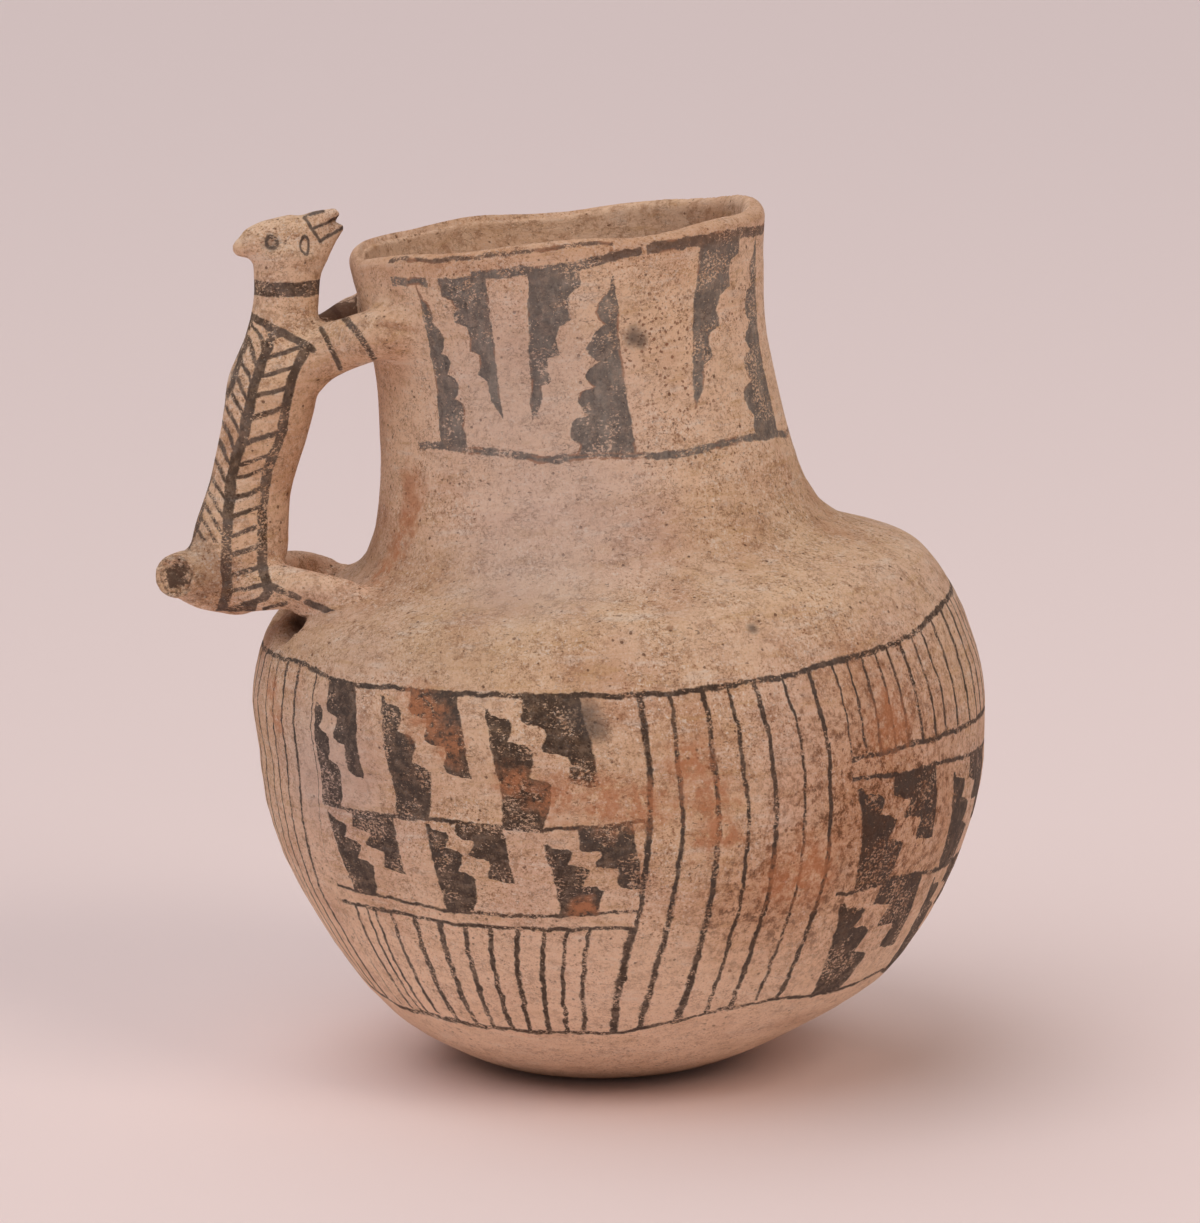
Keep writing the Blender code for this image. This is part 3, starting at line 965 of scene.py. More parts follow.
class Paint:
    """One material: its node tree, the straightened place in millimetres, and its colour so far."""

    def __init__(self, material):
        material.use_nodes = True
        self.material, self.tree = material, material.node_tree
        self.tree.nodes.clear()
        self.place = self.node("Attribute", {"attribute_name": "straight"}, None, out=1)
        self.colour = self.relief = None

    def node(self, kind, settings=None, values=None, out=0):
        """Adds a node and gives back one of its outputs."""
        node = self.tree.nodes.new("ShaderNode" + kind)
        for key, setting in (settings or {}).items():
            if key == "knots":
                self.bend(node.mapping, setting)
            else:
                setattr(node, key, setting)
        for key, value in (values or {}).items():
            if isinstance(value, Field):
                self.tree.links.new(value.socket, node.inputs[key])
            else:
                node.inputs[key].default_value = value
        return Field(self, node.outputs[out]) if node.outputs else node

    @staticmethod
    def bend(mapping, knots):
        """Lays a node's curve through knots, in straight stretches."""
        mapping.use_clip = False
        mapping.clip_min_x, mapping.clip_max_x = knots[0][0], knots[-1][0]
        mapping.extend = "HORIZONTAL"
        points = mapping.curves[0].points
        for _ in knots[2:]:
            points.new(0.0, 0.0)
        for point, knot in zip(points, knots):
            point.location = knot
            point.handle_type = "VECTOR"
        mapping.update()

    def curve(self, value, knots):
        """Reads a number off a curve through knots. A curve node ends at 100, so longer ones shrink."""
        shrink = min(1.0, 100 / knots[-1][0])
        value = value * shrink if shrink < 1 else value
        return self.node("FloatCurve", {"knots": [(x * shrink, y) for x, y in knots]}, {"Value": value})

    def vector(self, operation, *inputs, out=0):
        """Adds a Vector Math node. Its second output holds what is a number, such as a length."""
        return self.node("VectorMath", {"operation": operation}, dict(enumerate(inputs)), out)

    def parts(self, vector):
        """The X, Y and Z of a vector."""
        split = self.node("SeparateXYZ", None, {0: vector}).socket.node
        return [Field(self, socket) for socket in split.outputs]

    def noise(self, scale, detail=2.0, roughness=0.5, place=None, out=0):
        """Cloudy variation from 0 to 1, with patches of about one divided by the scale."""
        place = self.place if place is None else place
        values = {"Vector": place, "Scale": scale, "Detail": detail, "Roughness": roughness}
        return self.node("TexNoise", None, values, out)

    def streaks(self, across, up, detail, roughness):
        """Cloudy variation with one scale across the pot and another up it."""
        place = self.vector("MULTIPLY", self.place, (across, across, up))
        return self.noise(1.0, detail, roughness, place)

    def hash(self, number):
        """A fixed random number from 0 to 1 for each whole number."""
        return self.node("TexWhiteNoise", {"noise_dimensions": "1D"}, {"W": number})

    def mix(self, share, first, second):
        """The first colour where the share is 0, the second where it is 1."""
        return self.node("Mix", {"data_type": "RGBA"}, {0: share, 6: first, 7: second}, out=2)

    def lay(self, share, tint):
        """Covers the colour so far with a share of a tint."""
        self.colour = self.mix(share, self.colour, tint)


def soft_step(field, low, high):
    """0 at low, 1 at high, and an even curve between them. Low may be the larger one."""
    values = {"Value": field, "From Min": low, "From Max": high}
    return field.paint.node("MapRange", {"interpolation_type": "SMOOTHSTEP"}, values)


def most(first, *others):
    """The largest of several fields. For signed distances it joins shapes."""
    for other in others:
        first = first.math("MAXIMUM", other)
    return first


def least(first, *others):
    """The smallest of several fields. For signed distances it keeps what shapes share."""
    for other in others:
        first = first.math("MINIMUM", other)
    return first


def choose(mask, yes, no):
    """The first field where the mask is 1, the second where it is 0."""
    return mask.paint.node("Mix", {"data_type": "FLOAT"}, {0: mask, 2: no, 3: yes})


def within(field, low, high):
    """1 between two values and 0 elsewhere."""
    return abs(field - (low + high) / 2) < (high - low) / 2


def line(field, middle, half_width):
    """The brush line along which a field has its middle value, as a signed distance."""
    return half_width - abs(field - middle)


def counted(places):
    """Knots that number places from 0 on."""
    return [(place, number) for number, place in enumerate(places)]


# %% [markdown]
# ## Fired clay
#
# Seen close, the clay is not one colour. It has broad pink and yellow clouds from the kiln, the fine
# horizontal drag of a wet rag, brown and pale mottling, sand and chaff that show as dark flecks, and
# round pits where grains fell out. The pits come from a pattern of cells, and all else from noises
# of many scales. Most also press into the surface a little, which the Bump node turns into shading.

# %% Mix the clay
CLAY_PINK = dye(234, 197, 171)
CLAY_BUFF = dye(233, 196, 161)
CLAY_RED = dye(192, 136, 101)
CLAY_BROWN = dye(154, 106, 74)
CLAY_PALE = dye(242, 226, 211)
WARM_CLAY_AND_BOUNCE_LIGHT = dye(255, 222, 192)
FLECK_AND_SHADE_BROWN = dye(96, 62, 42)
OCHRE = dye(203, 160, 110)
OCHRE_RED = dye(194, 134, 92)
BUMP_STRENGTH, BUMP_REACH = 0.7, 0.0005
ROUGHNESS, SHEEN = 0.86, 0.3


def fired_clay(paint, warmth, pale, grit=1.0):
    """Lays the colours of the bare clay and works out its relief."""
    paint.colour = paint.mix(soft_step(paint.noise(0.022, 3.0, 0.55), 0.36, 0.64), CLAY_PINK, CLAY_BUFF)
    # a share of warm pale clay; on the body this share is painted bounce light from the floor, larger
    # towards the bottom
    paint.lay(pale, WARM_CLAY_AND_BOUNCE_LIGHT)
    broad = paint.noise(0.05, 4.0, 0.6, paint.vector("ADD", paint.place, (60.0, 0.0, 0.0)))
    paint.lay(soft_step(broad + warmth, 0.44, 0.80) * 0.7, CLAY_RED)
    drag = paint.streaks(0.11, 0.62, 4.0, 0.62)
    paint.lay(soft_step(drag, 0.50, 0.74) * 0.55, OCHRE)
    paint.lay(soft_step(drag, 0.46, 0.26) * 0.5, CLAY_PALE)
    mottle = paint.noise(0.42, 5.0, 0.72)
    paint.lay(soft_step(mottle + warmth, 0.51, 0.66) * 0.5, CLAY_BROWN)
    specks = paint.noise(1.15, 5.0, 0.8) * 0.6 + paint.noise(2.6, 3.0, 0.7) * 0.4
    rubbed = (soft_step(paint.noise(0.07, 3.0, 0.6), 0.36, 0.64) * 0.6 + 0.4) * grit
    paint.lay(soft_step(specks, 0.51, 0.62) * rubbed, CLAY_BROWN)
    paint.lay(soft_step(specks, 0.48, 0.39) * rubbed * 0.9, CLAY_PALE)
    vein = abs(paint.streaks(0.55, 0.95, 3.0, 0.7) - 0.5)
    veins = soft_step(vein, 0.024, 0.004) * soft_step(paint.noise(0.22), 0.44, 0.60)
    paint.lay(veins * 0.5, CLAY_BROWN)
    chaff = soft_step(paint.streaks(0.75, 1.9, 2.0, 0.6), 0.665, 0.73)
    cell = paint.node("TexVoronoi", None, {"Vector": paint.place, "Scale": 0.55})
    luck = paint.parts(Field(paint, cell.socket.node.outputs["Color"]))[0]
    pits = soft_step(cell + luck * 0.3 + (mottle - 0.5) * -0.4, 0.22, 0.13)
    holes = most(chaff * 0.8, pits)
    paint.lay(holes * 0.72, FLECK_AND_SHADE_BROWN)
    paint.relief = drag * 0.4 + specks * -1.3 + mottle * -0.4 - holes * 0.8 - veins * 0.4


def clay_surface(paint):
    """Ends a material: matte clay with its relief."""
    values = {"Height": paint.relief, "Strength": BUMP_STRENGTH, "Distance": BUMP_REACH}
    values = {"Normal": paint.node("Bump", None, values), "Base Color": paint.colour}
    values.update({"Roughness": ROUGHNESS, "Specular IOR Level": SHEEN})
    paint.node("OutputMaterial", None, {"Surface": paint.node("BsdfPrincipled", None, values)})
    print("nodes in " + paint.material.name + ":", len(paint.tree.nodes))


def ragged_edge(paint):
    """An amount a little above or below zero, which breaks up the edge of a spot."""
    return (paint.noise(0.35, 4.0, 0.7) - 0.5) * 2.2


def spot_mask(paint, spots, ragged, inset=0.0):
    """Soft ragged spots, each given as degrees from the front, height and radius in millimetres."""
    away = []
    for turn, height, size in spots:
        centre = outside_place(turn, height, inset)
        away.append(paint.vector("DISTANCE", paint.place, centre, out=1) / size)
    return soft_step(least(*away) + ragged, 1.3, 0.2)


inside = Paint(bare_clay)
fired_clay(inside, 0.03, 0.7, 0.4)
inside.lay(0.24, OCHRE_RED)
clay_surface(inside)

# %% [markdown]
# ## Ink on clay
#
# Every painted shape is first a signed distance in millimetres: above zero inside the shape. The
# brush frays its edge, so a fine noise is added before the distance becomes cover. Afterwards the
# ink was rubbed and flaked, so small pale specks come through, more in some places than in others.
# The painter's hand was not steady either, so the place itself is moved a little to and fro.

# %% Lay ink
BODY_INK = dye(52, 39, 32)
BODY_INK_COLD = dye(60, 53, 50)
WOBBLES = ((0.06, 1.8), (0.42, 1.1), (1.3, 0.35))


def ink_cover(paint, depth):
    """How much ink lies at each place, for a signed distance in millimetres."""
    fray = paint.noise(1.1, 4.0, 0.75) - 0.5
    cover = soft_step(depth + fray * 0.7, -0.14, 0.18)
    rubbed = soft_step(paint.noise(0.13, 3.0, 0.6), 0.40, 0.62)
    flaked = soft_step(paint.streaks(1.5, 2.3, 3.0, 0.75) + rubbed * 0.15, 0.64, 0.71)
    thin = soft_step(paint.noise(0.5, 4.0, 0.7), 0.42, 0.66)
    return cover * (1 - flaked * 0.8) * (1 - thin * 0.175)


def unsteady(paint):
    """The place moved a little to and fro: slowly as by an arm, and quickly as by a brush tip."""
    place = paint.place
    for scale, reach in WOBBLES:
        wobble = paint.noise(scale, 1.0, place=place, out=1)
        back = paint.vector("ADD", place, (-reach / 2,) * 3)
        place = paint.vector("MULTIPLY_ADD", wobble, (reach,) * 3, back)
    return place


def compass(paint, place):
    """Degrees around the pot from the front towards the right, the height, and millimetres per degree."""
    x, y, height = paint.parts(place)
    turn = x.math("ARCTAN2", y * -1) * (180 / math.pi)
    return turn, height, (x * x + y * y).math("SQRT") * (math.pi / 180)


def stepped_pair(u, y, standing, hanging, unit, row_height, straight_edge, hanging_lean=0.0):
    """A standing and a hanging stepped figure: u runs across the pair and y down the row, from 0 to 1."""
    edge = straight_edge - u + hanging_lean * y
    figures = most(least(u, standing - u) * unit, least(edge, hanging - edge) * unit)
    return least(figures, y * row_height, (1 - y) * row_height)


print("wobbles of the hand, in millimetres:", [reach for _, reach in WOBBLES])

# %% [markdown]
# ## The painted belt on the body
#
# The belt repeats after half a turn. Its places are counted in degrees from the left edge of the
# first panel. Curves give the height of each framing line at each place, because the painter's
# lines rise and sink. Between them run thin upright lines, and in two panels stand rows of stepped
# figures: one that stands on the lower line and grows downwards, and one that hangs from the upper.

# %% Name the belt's lines
BELT_START, HALF_BELT = -54.0, 182.0
SECOND_HALF_PITCH = 0.0225
FIRST_PANEL, SECOND_PANEL = (1.0, 57.3), (91.2, 148.0)
UPPER_LINE = (
    (0, 90.6), (9, 88.9), (25, 88.2), (37, 87.4), (46, 86.8), (59, 86.5), (81, 86.5), (90, 87.3),
    (105, 87.5), (112, 88.3), (118, 89.9), (128, 90.8), (165, 91.3), (178, 91.3), (182, 90.6),
)
LOWER_LINE = (
    (0, 14.3), (19, 14.9), (39, 15.2), (57, 17.0), (62.7, 18.2), (69.6, 20.6), (78, 24.0), (90.6, 26.3),
    (106, 26.7), (120, 28.5), (135, 26.0), (150, 20.0), (165, 16.0), (182, 14.3),
)
FIRST_ROW_TOP = (
    (0, 90.4), (9, 88.9), (25, 88.2), (37, 87.4), (46, 86.8), (60, 86.5), (88, 67.3), (132, 65.4),
    (149, 65.2), (182, 90.0),
)
BETWEEN_ROWS = (
    (0, 61.0), (42, 61.0), (49, 61.4), (57, 62.9), (60, 63.5), (89, 47.2), (96, 47.8), (103, 48.5),
    (125, 47.9), (149, 48.0), (182, 61.0),
)
SECOND_ROW_FOOT = (
    (0, 39.2), (13, 40.0), (23, 40.3), (34.5, 41.2), (43, 42.3), (58, 44.8), (89, 26.3), (106, 26.7),
    (120, 28.5), (135, 26.0), (149, 20.5), (182, 39.0),
)
STROKES_END = (
    (0, 35.0), (14, 36.9), (23, 37.3), (34.5, 38.3), (43, 39.6), (60, 41.5), (89, 70.8), (182, 70.8),
)
STROKE_PLACES = (
    0, 5, 8.3, 10.4, 14.7, 20.1, 25.5, 30.2, 34.8, 39.4, 44.1, 48.1, 51.7, 58.6, 63, 67.9, 71.9, 76.4,
    81.3, 85.8, 90.5, 93.4, 96.6, 100, 103, 106.7, 110.4, 113.5, 118, 123.5, 127.8, 131.3, 134.9, 138.4,
    142, 145.4, 149, 154, 159, 163.6, 167.4, 171.8, 176.5, 182,
)
STROKE_SLANT = (
    (0, -0.6), (56, -1.6), (62, -0.6), (68, 1.2), (73, 2.6), (90.5, 3.2), (100, 2.0), (149, 2.0),
    (160, 1.0), (182, -0.6),
)
FIRST_ROW_FIGURES = (
    (0, -0.02), (0.4, 0), (11, 0.72), (16.7, 1), (31, 1.72), (35, 2), (50.4, 2.72), (58, 2.95),
    (93.4, 4), (112, 4.72), (117.5, 5), (136, 5.72), (141.5, 6), (149, 6.4), (182, 7),
)
SECOND_ROW_FIGURES = (
    (0, -0.17), (4.2, 0), (18.4, 0.72), (24.4, 1), (37.4, 1.72), (43.7, 2), (57, 2.72), (58, 2.8),
    (95, 4), (115.5, 4.72), (120, 5), (140, 5.72), (144, 6), (149, 6.25), (182, 7),
)
STANDING_WIDTH = (
    (0, -0.3), (0.08, -0.3), (0.10, 0.03), (0.15, 0.05), (0.175, 0.17), (0.21, 0.195), (0.27, 0.18),
    (0.345, 0.14), (0.375, 0.26), (0.41, 0.30), (0.48, 0.285), (0.59, 0.235), (0.625, 0.35), (0.66, 0.39),
    (0.74, 0.375), (0.90, 0.33), (1, 0.29),
)
HANGING_WIDTH = (
    (0, 0.42), (0.14, 0.45), (0.185, 0.46), (0.21, 0.41), (0.23, 0.30), (0.27, 0.30), (0.36, 0.35),
    (0.40, 0.35), (0.42, 0.29), (0.435, 0.18), (0.48, 0.175), (0.59, 0.21), (0.64, 0.20), (0.67, 0.10),
    (0.685, -0.3), (1, -0.3),
)
STRAIGHT_EDGE = 0.72
PAIR_WIDTH, ROW_HEIGHT = 21.0, 22.0
STROKES_TOP, STROKES_HEIGHT = 88.0, 62.0
STROKE_GAP, GAP_LESS_IN_SECOND = 4.55, 0.95
STROKE_WIDTH, WIDTH_VARIES, MORE_IN_FIRST, OVERSHOOT = 0.34, 0.2, 0.08, 1.6
UPPER_WIDTH, LOWER_WIDTH, ROW_LINE_WIDTH, PANEL_END_WIDTH = 0.52, 0.45, 0.4, 0.45
OUT_OF_PANEL = 9.0
print("strokes in half a belt:", len(STROKE_PLACES))

# %% Paint the body
RUST = dye(196, 130, 90)
SOOT = dye(88, 78, 72)
RUST_SPOTS = (
    # degrees from the front, height, radius
    (-31, 86.4, 4.6), (-29, 82.4, 5.4), (-26, 77.6, 4.4), (-10, 67.4, 5.6), (-3, 67.0, 6.5), (3, 66.0, 6.0),
    (10, 73.2, 5.6), (13, 66.6, 6.4), (14, 60.4, 5.6), (27, 50.6, 6.6), (-69, 84.2, 4.0), (-66, 77.7, 4.0),
    (-16.5, 70.5, 4.0), (-5, 45, 3.2), (31, 52.0, 7.0), (46, 76, 7.0), (128, 70, 8.0), (190, 52, 9.0),
    (222, 80, 7.0), (-57, 117, 4.6), (-60, 112, 4.6), (-63, 107.5, 4.4),
)
SOOT_SPOTS = ((-4.6, 83.2, 4.2), (-3.2, 81.2, 3.6), (25, 95.1, 1.3), (160, 74, 5.0))
SOOTY_SIDE = ((44, 59, 32.0), (24, 47, 16.0), (150, 40, 26.0))
# painted shade in the hollows under the hind legs: degrees from the front, height and radius, and how far
# in the spots lie
HOLLOW_SHADE_SPOTS, HOLLOW_INSET = ((-70.5, 98.2, 4.8), (-75, 97.6, 4.4), (-87, 98.2, 4.6)), 3.4
BLOOM = dye(210, 190, 182)
BLOOM_SPOTS = ((-12, 140, 24.0), (-6, 120, 22.0), (-14, 108, 20.0), (-52, 70, 18.0))
# colour that darkens the shoulder
SHOULDER_DARKENING = dye(150, 116, 84)
# colour of the painted shade in the hollows
HOLLOW_SHADE_BROWN = dye(66, 42, 29)
CRUST = dye(152, 98, 62)
# heights of the painted bounce light on the low belly, and of the painted shade at the foot
BELLY_BOUNCE_LIGHT, FOOT_CONTACT_SHADE = (60.0, 12.0), (7.0, 1.0)
SHOULDER_FROM, SHOULDER_TO, LEFT_SIDE = (86.0, 95.0), (117.0, 106.0), (10.0, -40.0)


def body_strokes(paint, at, second_half, height, degree, top, foot, thicker):
    """The upright strokes between two heights, as a signed distance. They slant and end unevenly."""
    down = (STROKES_TOP - height) / STROKES_HEIGHT
    count = paint.curve(at - down * paint.curve(at, STROKE_SLANT), counted(STROKE_PLACES))
    number = count.math("ROUND")
    chance = paint.hash(number + second_half * 100)
    gap = (STROKE_GAP - within(at, *SECOND_PANEL) * GAP_LESS_IN_SECOND) * degree
    off_stroke = abs(count - number + (chance - 0.5) * second_half * 0.3) * gap
    along = least(top - height, height - foot + (chance - 0.55) * OVERSHOOT)
    return least(chance * WIDTH_VARIES + STROKE_WIDTH + thicker - off_stroke, along)


def body_figures(paint, at, second_half, height, row, top, foot):
    """The stepped figures of a row, as a signed distance, each pair a little different."""
    y = (top - height) / (top - foot)
    across = choose(row, paint.curve(at, FIRST_ROW_FIGURES), paint.curve(at, SECOND_ROW_FIGURES))
    across = across - (0.18 - row * 0.09) * (y - 0.5)
    pair = (across + 0.1).math("FLOOR")
    stepped = y + (paint.hash(pair * 2 + row + second_half * 40) - 0.5) * 0.12
    standing, hanging = (paint.curve(stepped, knots) for knots in (STANDING_WIDTH, HANGING_WIDTH))
    return stepped_pair(across - pair, y, standing, hanging, PAIR_WIDTH, ROW_HEIGHT, STRAIGHT_EDGE)


def body_belt(paint, place):
    """The belt around the body, as a signed distance in millimetres."""
    turn, height, degree = compass(paint, place)
    around = (turn - BELT_START).math("FLOORED_MODULO", 360.0)
    second_half = around > HALF_BELT
    at = (around - second_half * HALF_BELT) * (second_half * SECOND_HALF_PITCH + 1)
    upper, lower, ends, middle, first_top, second_foot = (
        paint.curve(at, knots)
        for knots in (UPPER_LINE, LOWER_LINE, STROKES_END, BETWEEN_ROWS, FIRST_ROW_TOP, SECOND_ROW_FOOT)
    )
    first, second = within(at, *FIRST_PANEL), within(at, *SECOND_PANEL)
    stroke_top, stroke_foot = choose(first, ends, upper), choose(second, ends, lower)
    thicker = first * MORE_IN_FIRST
    strokes = body_strokes(paint, at, second_half, height, degree, stroke_top, stroke_foot, thicker)
    row = height > middle
    top, foot = choose(row, first_top, middle), choose(row, middle, second_foot)
    figures = body_figures(paint, at, second_half, height, row, top, foot)
    row_lines = most(line(height, top, ROW_LINE_WIDTH), line(height, foot, ROW_LINE_WIDTH))
    rows = most(figures, row_lines, line(height, ends, PANEL_END_WIDTH))
    rows = rows + (most(first, second) - 1) * OUT_OF_PANEL
    return most(line(height, upper, UPPER_WIDTH), line(height, lower, LOWER_WIDTH), strokes, rows)


def paint_body():
    """The body and shoulder: clay, belt, rust and soot, a darker shoulder, painted bounce light on the low
    belly, and painted shade at the foot and in the hollows under the hind legs.
    """
    paint = Paint(pot_clay)
    x, _, height = paint.parts(paint.place)
    # painted bounce light: the belly gets paler towards the bottom, as if lit from the floor
    low = soft_step(height, *BELLY_BOUNCE_LIGHT)
    fired_clay(paint, 0.0, low)
    ragged = ragged_edge(paint)
    # the shoulder is darkened a little, more on its left side
    shoulder = least(soft_step(height, *SHOULDER_FROM), soft_step(height, *SHOULDER_TO))
    paint.lay(shoulder * (soft_step(x, *LEFT_SIDE) * 0.2 + 0.04), SHOULDER_DARKENING)
    # painted shade: the lowest few millimetres of the foot are darkened brown, standing in for the contact
    # shadow under the pot
    paint.lay(soft_step(height, *FOOT_CONTACT_SHADE) * 0.7, FLECK_AND_SHADE_BROWN)
    paint.lay(spot_mask(paint, BLOOM_SPOTS, ragged * 0.3) * 0.4, BLOOM)
    # painted shade: the hollows under the hind legs are darkened dark brown
    paint.lay(spot_mask(paint, HOLLOW_SHADE_SPOTS, ragged * 0.4, HOLLOW_INSET) * 0.95, HOLLOW_SHADE_BROWN)
    sooty = spot_mask(paint, SOOTY_SIDE, ragged * 0.4)
    crust = paint.noise(0.5, 8.0, 0.82)
    paint.lay(sooty * 0.4, OCHRE_RED)
    paint.lay(sooty * soft_step(crust, 0.49, 0.53) * 0.75, CRUST)
    paint.lay(sooty * soft_step(crust, 0.545, 0.58) * 0.85, FLECK_AND_SHADE_BROWN)
    # more painted bounce light on the low belly
    paint.lay(low * 0.4, WARM_CLAY_AND_BOUNCE_LIGHT)
    ink = paint.mix(soft_step(paint.noise(0.03), 0.4, 0.6), BODY_INK, BODY_INK_COLD)
    paint.lay(ink_cover(paint, body_belt(paint, unsteady(paint))) * 0.93, ink)
    rusty = soft_step(paint.noise(0.5, 5.0, 0.75), 0.36, 0.55)
    paint.lay(spot_mask(paint, RUST_SPOTS, ragged) * rusty * 0.8, RUST)
    paint.lay(spot_mask(paint, SOOT_SPOTS, ragged * 0.3) * 0.72, SOOT)
    clay_surface(paint)


paint_body()

# %% [markdown]
# ## The belt on the neck
#
# The neck carries the same pair of stepped figures, taller, with five steps instead of three, and in
# a greyer ink. Some pairs are mirrored, and the space between two of them stays blank. A curve gives
# how far across its pair each place lies: 0 at the straight edge of the standing figure and 1 at the
# straight edge of the hanging one. It falls instead of rising where the pair is mirrored.

# %% Name the lines of the neck
HANDLE_TURN = -80.0
NECK_UPPER = (
    (0, 163.0), (42, 163.0), (46, 163.6), (58, 163.8), (70, 163.7), (85.6, 163.1), (92.8, 163.9),
    (97, 165.0), (110, 165.8), (128, 165.4), (160, 163.8), (200, 164.5), (240, 163.5), (290, 165.0),
    (332, 163.0), (360, 163.0),
)
NECK_LOWER = (
    (0, 131.6), (38, 131.5), (58, 129.6), (70, 127.8), (79, 127.4), (94, 126.4), (106, 125.4),
    (129, 125.0), (160, 122.5), (200, 124.0), (240, 125.5), (290, 128.0), (332, 131.5), (360, 131.5),
)
ACROSS_PAIR = (
    (0, -1.7), (38, 0), (60, 1), (66, 1.27), (72, 1), (95.3, 0), (107, -0.5), (107.4, 1.5), (122, 1),
    (151.5, 0), (165.7, -0.5), (180, 0), (206, 1), (211.5, 1.2), (217, 1), (242, 0), (256, -0.5),
    (270, 0), (296, 1), (301, 1.2), (306, 1), (330, 0), (360, -1.2),
)
BLANK_AT, HALF_BLANK = 107.2, 2.0
HANGING_LEAN = (
    (0, -0.06), (65, -0.06), (67, 0.28), (165, 0.28), (166, -0.06), (211, -0.06), (212, 0.28),
    (255, 0.28), (256, -0.06), (300, -0.06), (302, 0.28), (360, 0.28),
)
STANDING_SIZE = (
    (0, 0.62), (66, 0.62), (67, 1.0), (107, 1.0), (108, 0.72), (165, 0.72), (166, 0.8), (211, 0.9),
    (300, 0.7), (360, 0.7),
)
TALL_STANDING = (
    (0, -0.3), (0.08, -0.3), (0.10, 0.02), (0.17, 0.10), (0.20, 0.22), (0.245, 0.27), (0.29, 0.24),
    (0.315, 0.18), (0.345, 0.33), (0.42, 0.42), (0.47, 0.37), (0.50, 0.28), (0.53, 0.41), (0.57, 0.47),
    (0.61, 0.43), (0.635, 0.38), (0.66, 0.55), (0.71, 0.61), (0.76, 0.56), (0.785, 0.49), (0.81, 0.68),
    (0.86, 0.74), (0.91, 0.70), (0.94, 0.63), (1, 0.68),
)
TALL_HANGING = (
    (0, 0.62), (0.10, 0.62), (0.13, 0.50), (0.18, 0.48), (0.26, 0.52), (0.29, 0.36), (0.36, 0.33),
    (0.44, 0.38), (0.46, 0.24), (0.52, 0.22), (0.58, 0.27), (0.61, 0.14), (0.72, 0.13), (0.82, 0.0),
    (0.83, -0.3), (1, -0.3),
)
NECK_INK = dye(88, 88, 88)
NECK_INK_WORN = dye(120, 118, 114)
NECK_INK_DARK = dye(84, 66, 58)
PIT_RUST = dye(128, 78, 50)
print("pairs on the neck:", sum(1 for _, across in ACROSS_PAIR if across == 1))

# %% Paint the neck
TALL_PAIR_WIDTH, TALL_ROW_HEIGHT = 17.0, 36.0
NECK_UPPER_WIDTH, NECK_UPPER_MORE, NECK_LOWER_WIDTH = 0.85, 0.3, 0.72
DASH_TO, LINE_FROM, LINE_BREAK, HALF_BREAK = 42.4, 56.0, 104.2, 0.7
RIM_LINE, RIM_LINE_TO = (166.7, 167.55), 96.0
PAINTED_TO_EACH_SIDE = 152.0
BROWN_RIM = (161.0, 169.0)
NECK_RUST_SPOTS = (
    (-56, 124.2, 4.4), (-55, 121.2, 4.6), (-57, 117.0, 4.6), (100, 140, 5.0), (170, 132, 6.0),
)
NECK_SOOT_SPOTS = ((19.5, 148.6, 2.6), (21, 147.6, 1.8))
SPECKLED_SIDE = ((27, 148, 15.0), (33, 136, 12.0), (60, 150, 9.0), (180, 145, 16.0))


def neck_belt(paint, place):
    """The belt around the neck, as a signed distance in millimetres, and how dark its ink is."""
    turn, height, degree = compass(paint, place)
    at = (turn - HANDLE_TURN).math("FLOORED_MODULO", 360.0)
    upper, lower = paint.curve(at, NECK_UPPER), paint.curve(at, NECK_LOWER)
    y = (upper - height) / (upper - lower)
    across = paint.curve(at, ACROSS_PAIR)
    size = paint.curve(at, STANDING_SIZE)
    standing = paint.curve(y + (1 - size) * 0.2, TALL_STANDING) * size
    hanging, lean = paint.curve(y, TALL_HANGING), paint.curve(at, HANGING_LEAN)
    pairs = stepped_pair(across, y, standing, hanging, TALL_PAIR_WIDTH, TALL_ROW_HEIGHT, 1.0, lean)
    pairs = least(pairs, (abs(at - BLANK_AT) - HALF_BLANK) * degree)
    gap = abs(at - (DASH_TO + LINE_FROM) / 2) - (LINE_FROM - DASH_TO) / 2
    gap = least(gap, abs(at - LINE_BREAK) - HALF_BREAK)
    upper_width = NECK_UPPER_WIDTH + soft_step(at, 104, 108) * NECK_UPPER_MORE
    upper_line = least(line(height, upper, upper_width), gap * degree)
    lower_line = line(height, lower, NECK_LOWER_WIDTH)
    band = (PAINTED_TO_EACH_SIDE - abs(at - 180)) * degree
    rim = least(height - RIM_LINE[0], RIM_LINE[1] - height, band, (RIM_LINE_TO - at) * degree)
    dark = most(soft_step(at, 84, 96) * soft_step(y, 0.08, -0.02), soft_step(height, 165.4, 166.4))
    return least(most(pairs, upper_line, lower_line, rim), band), dark


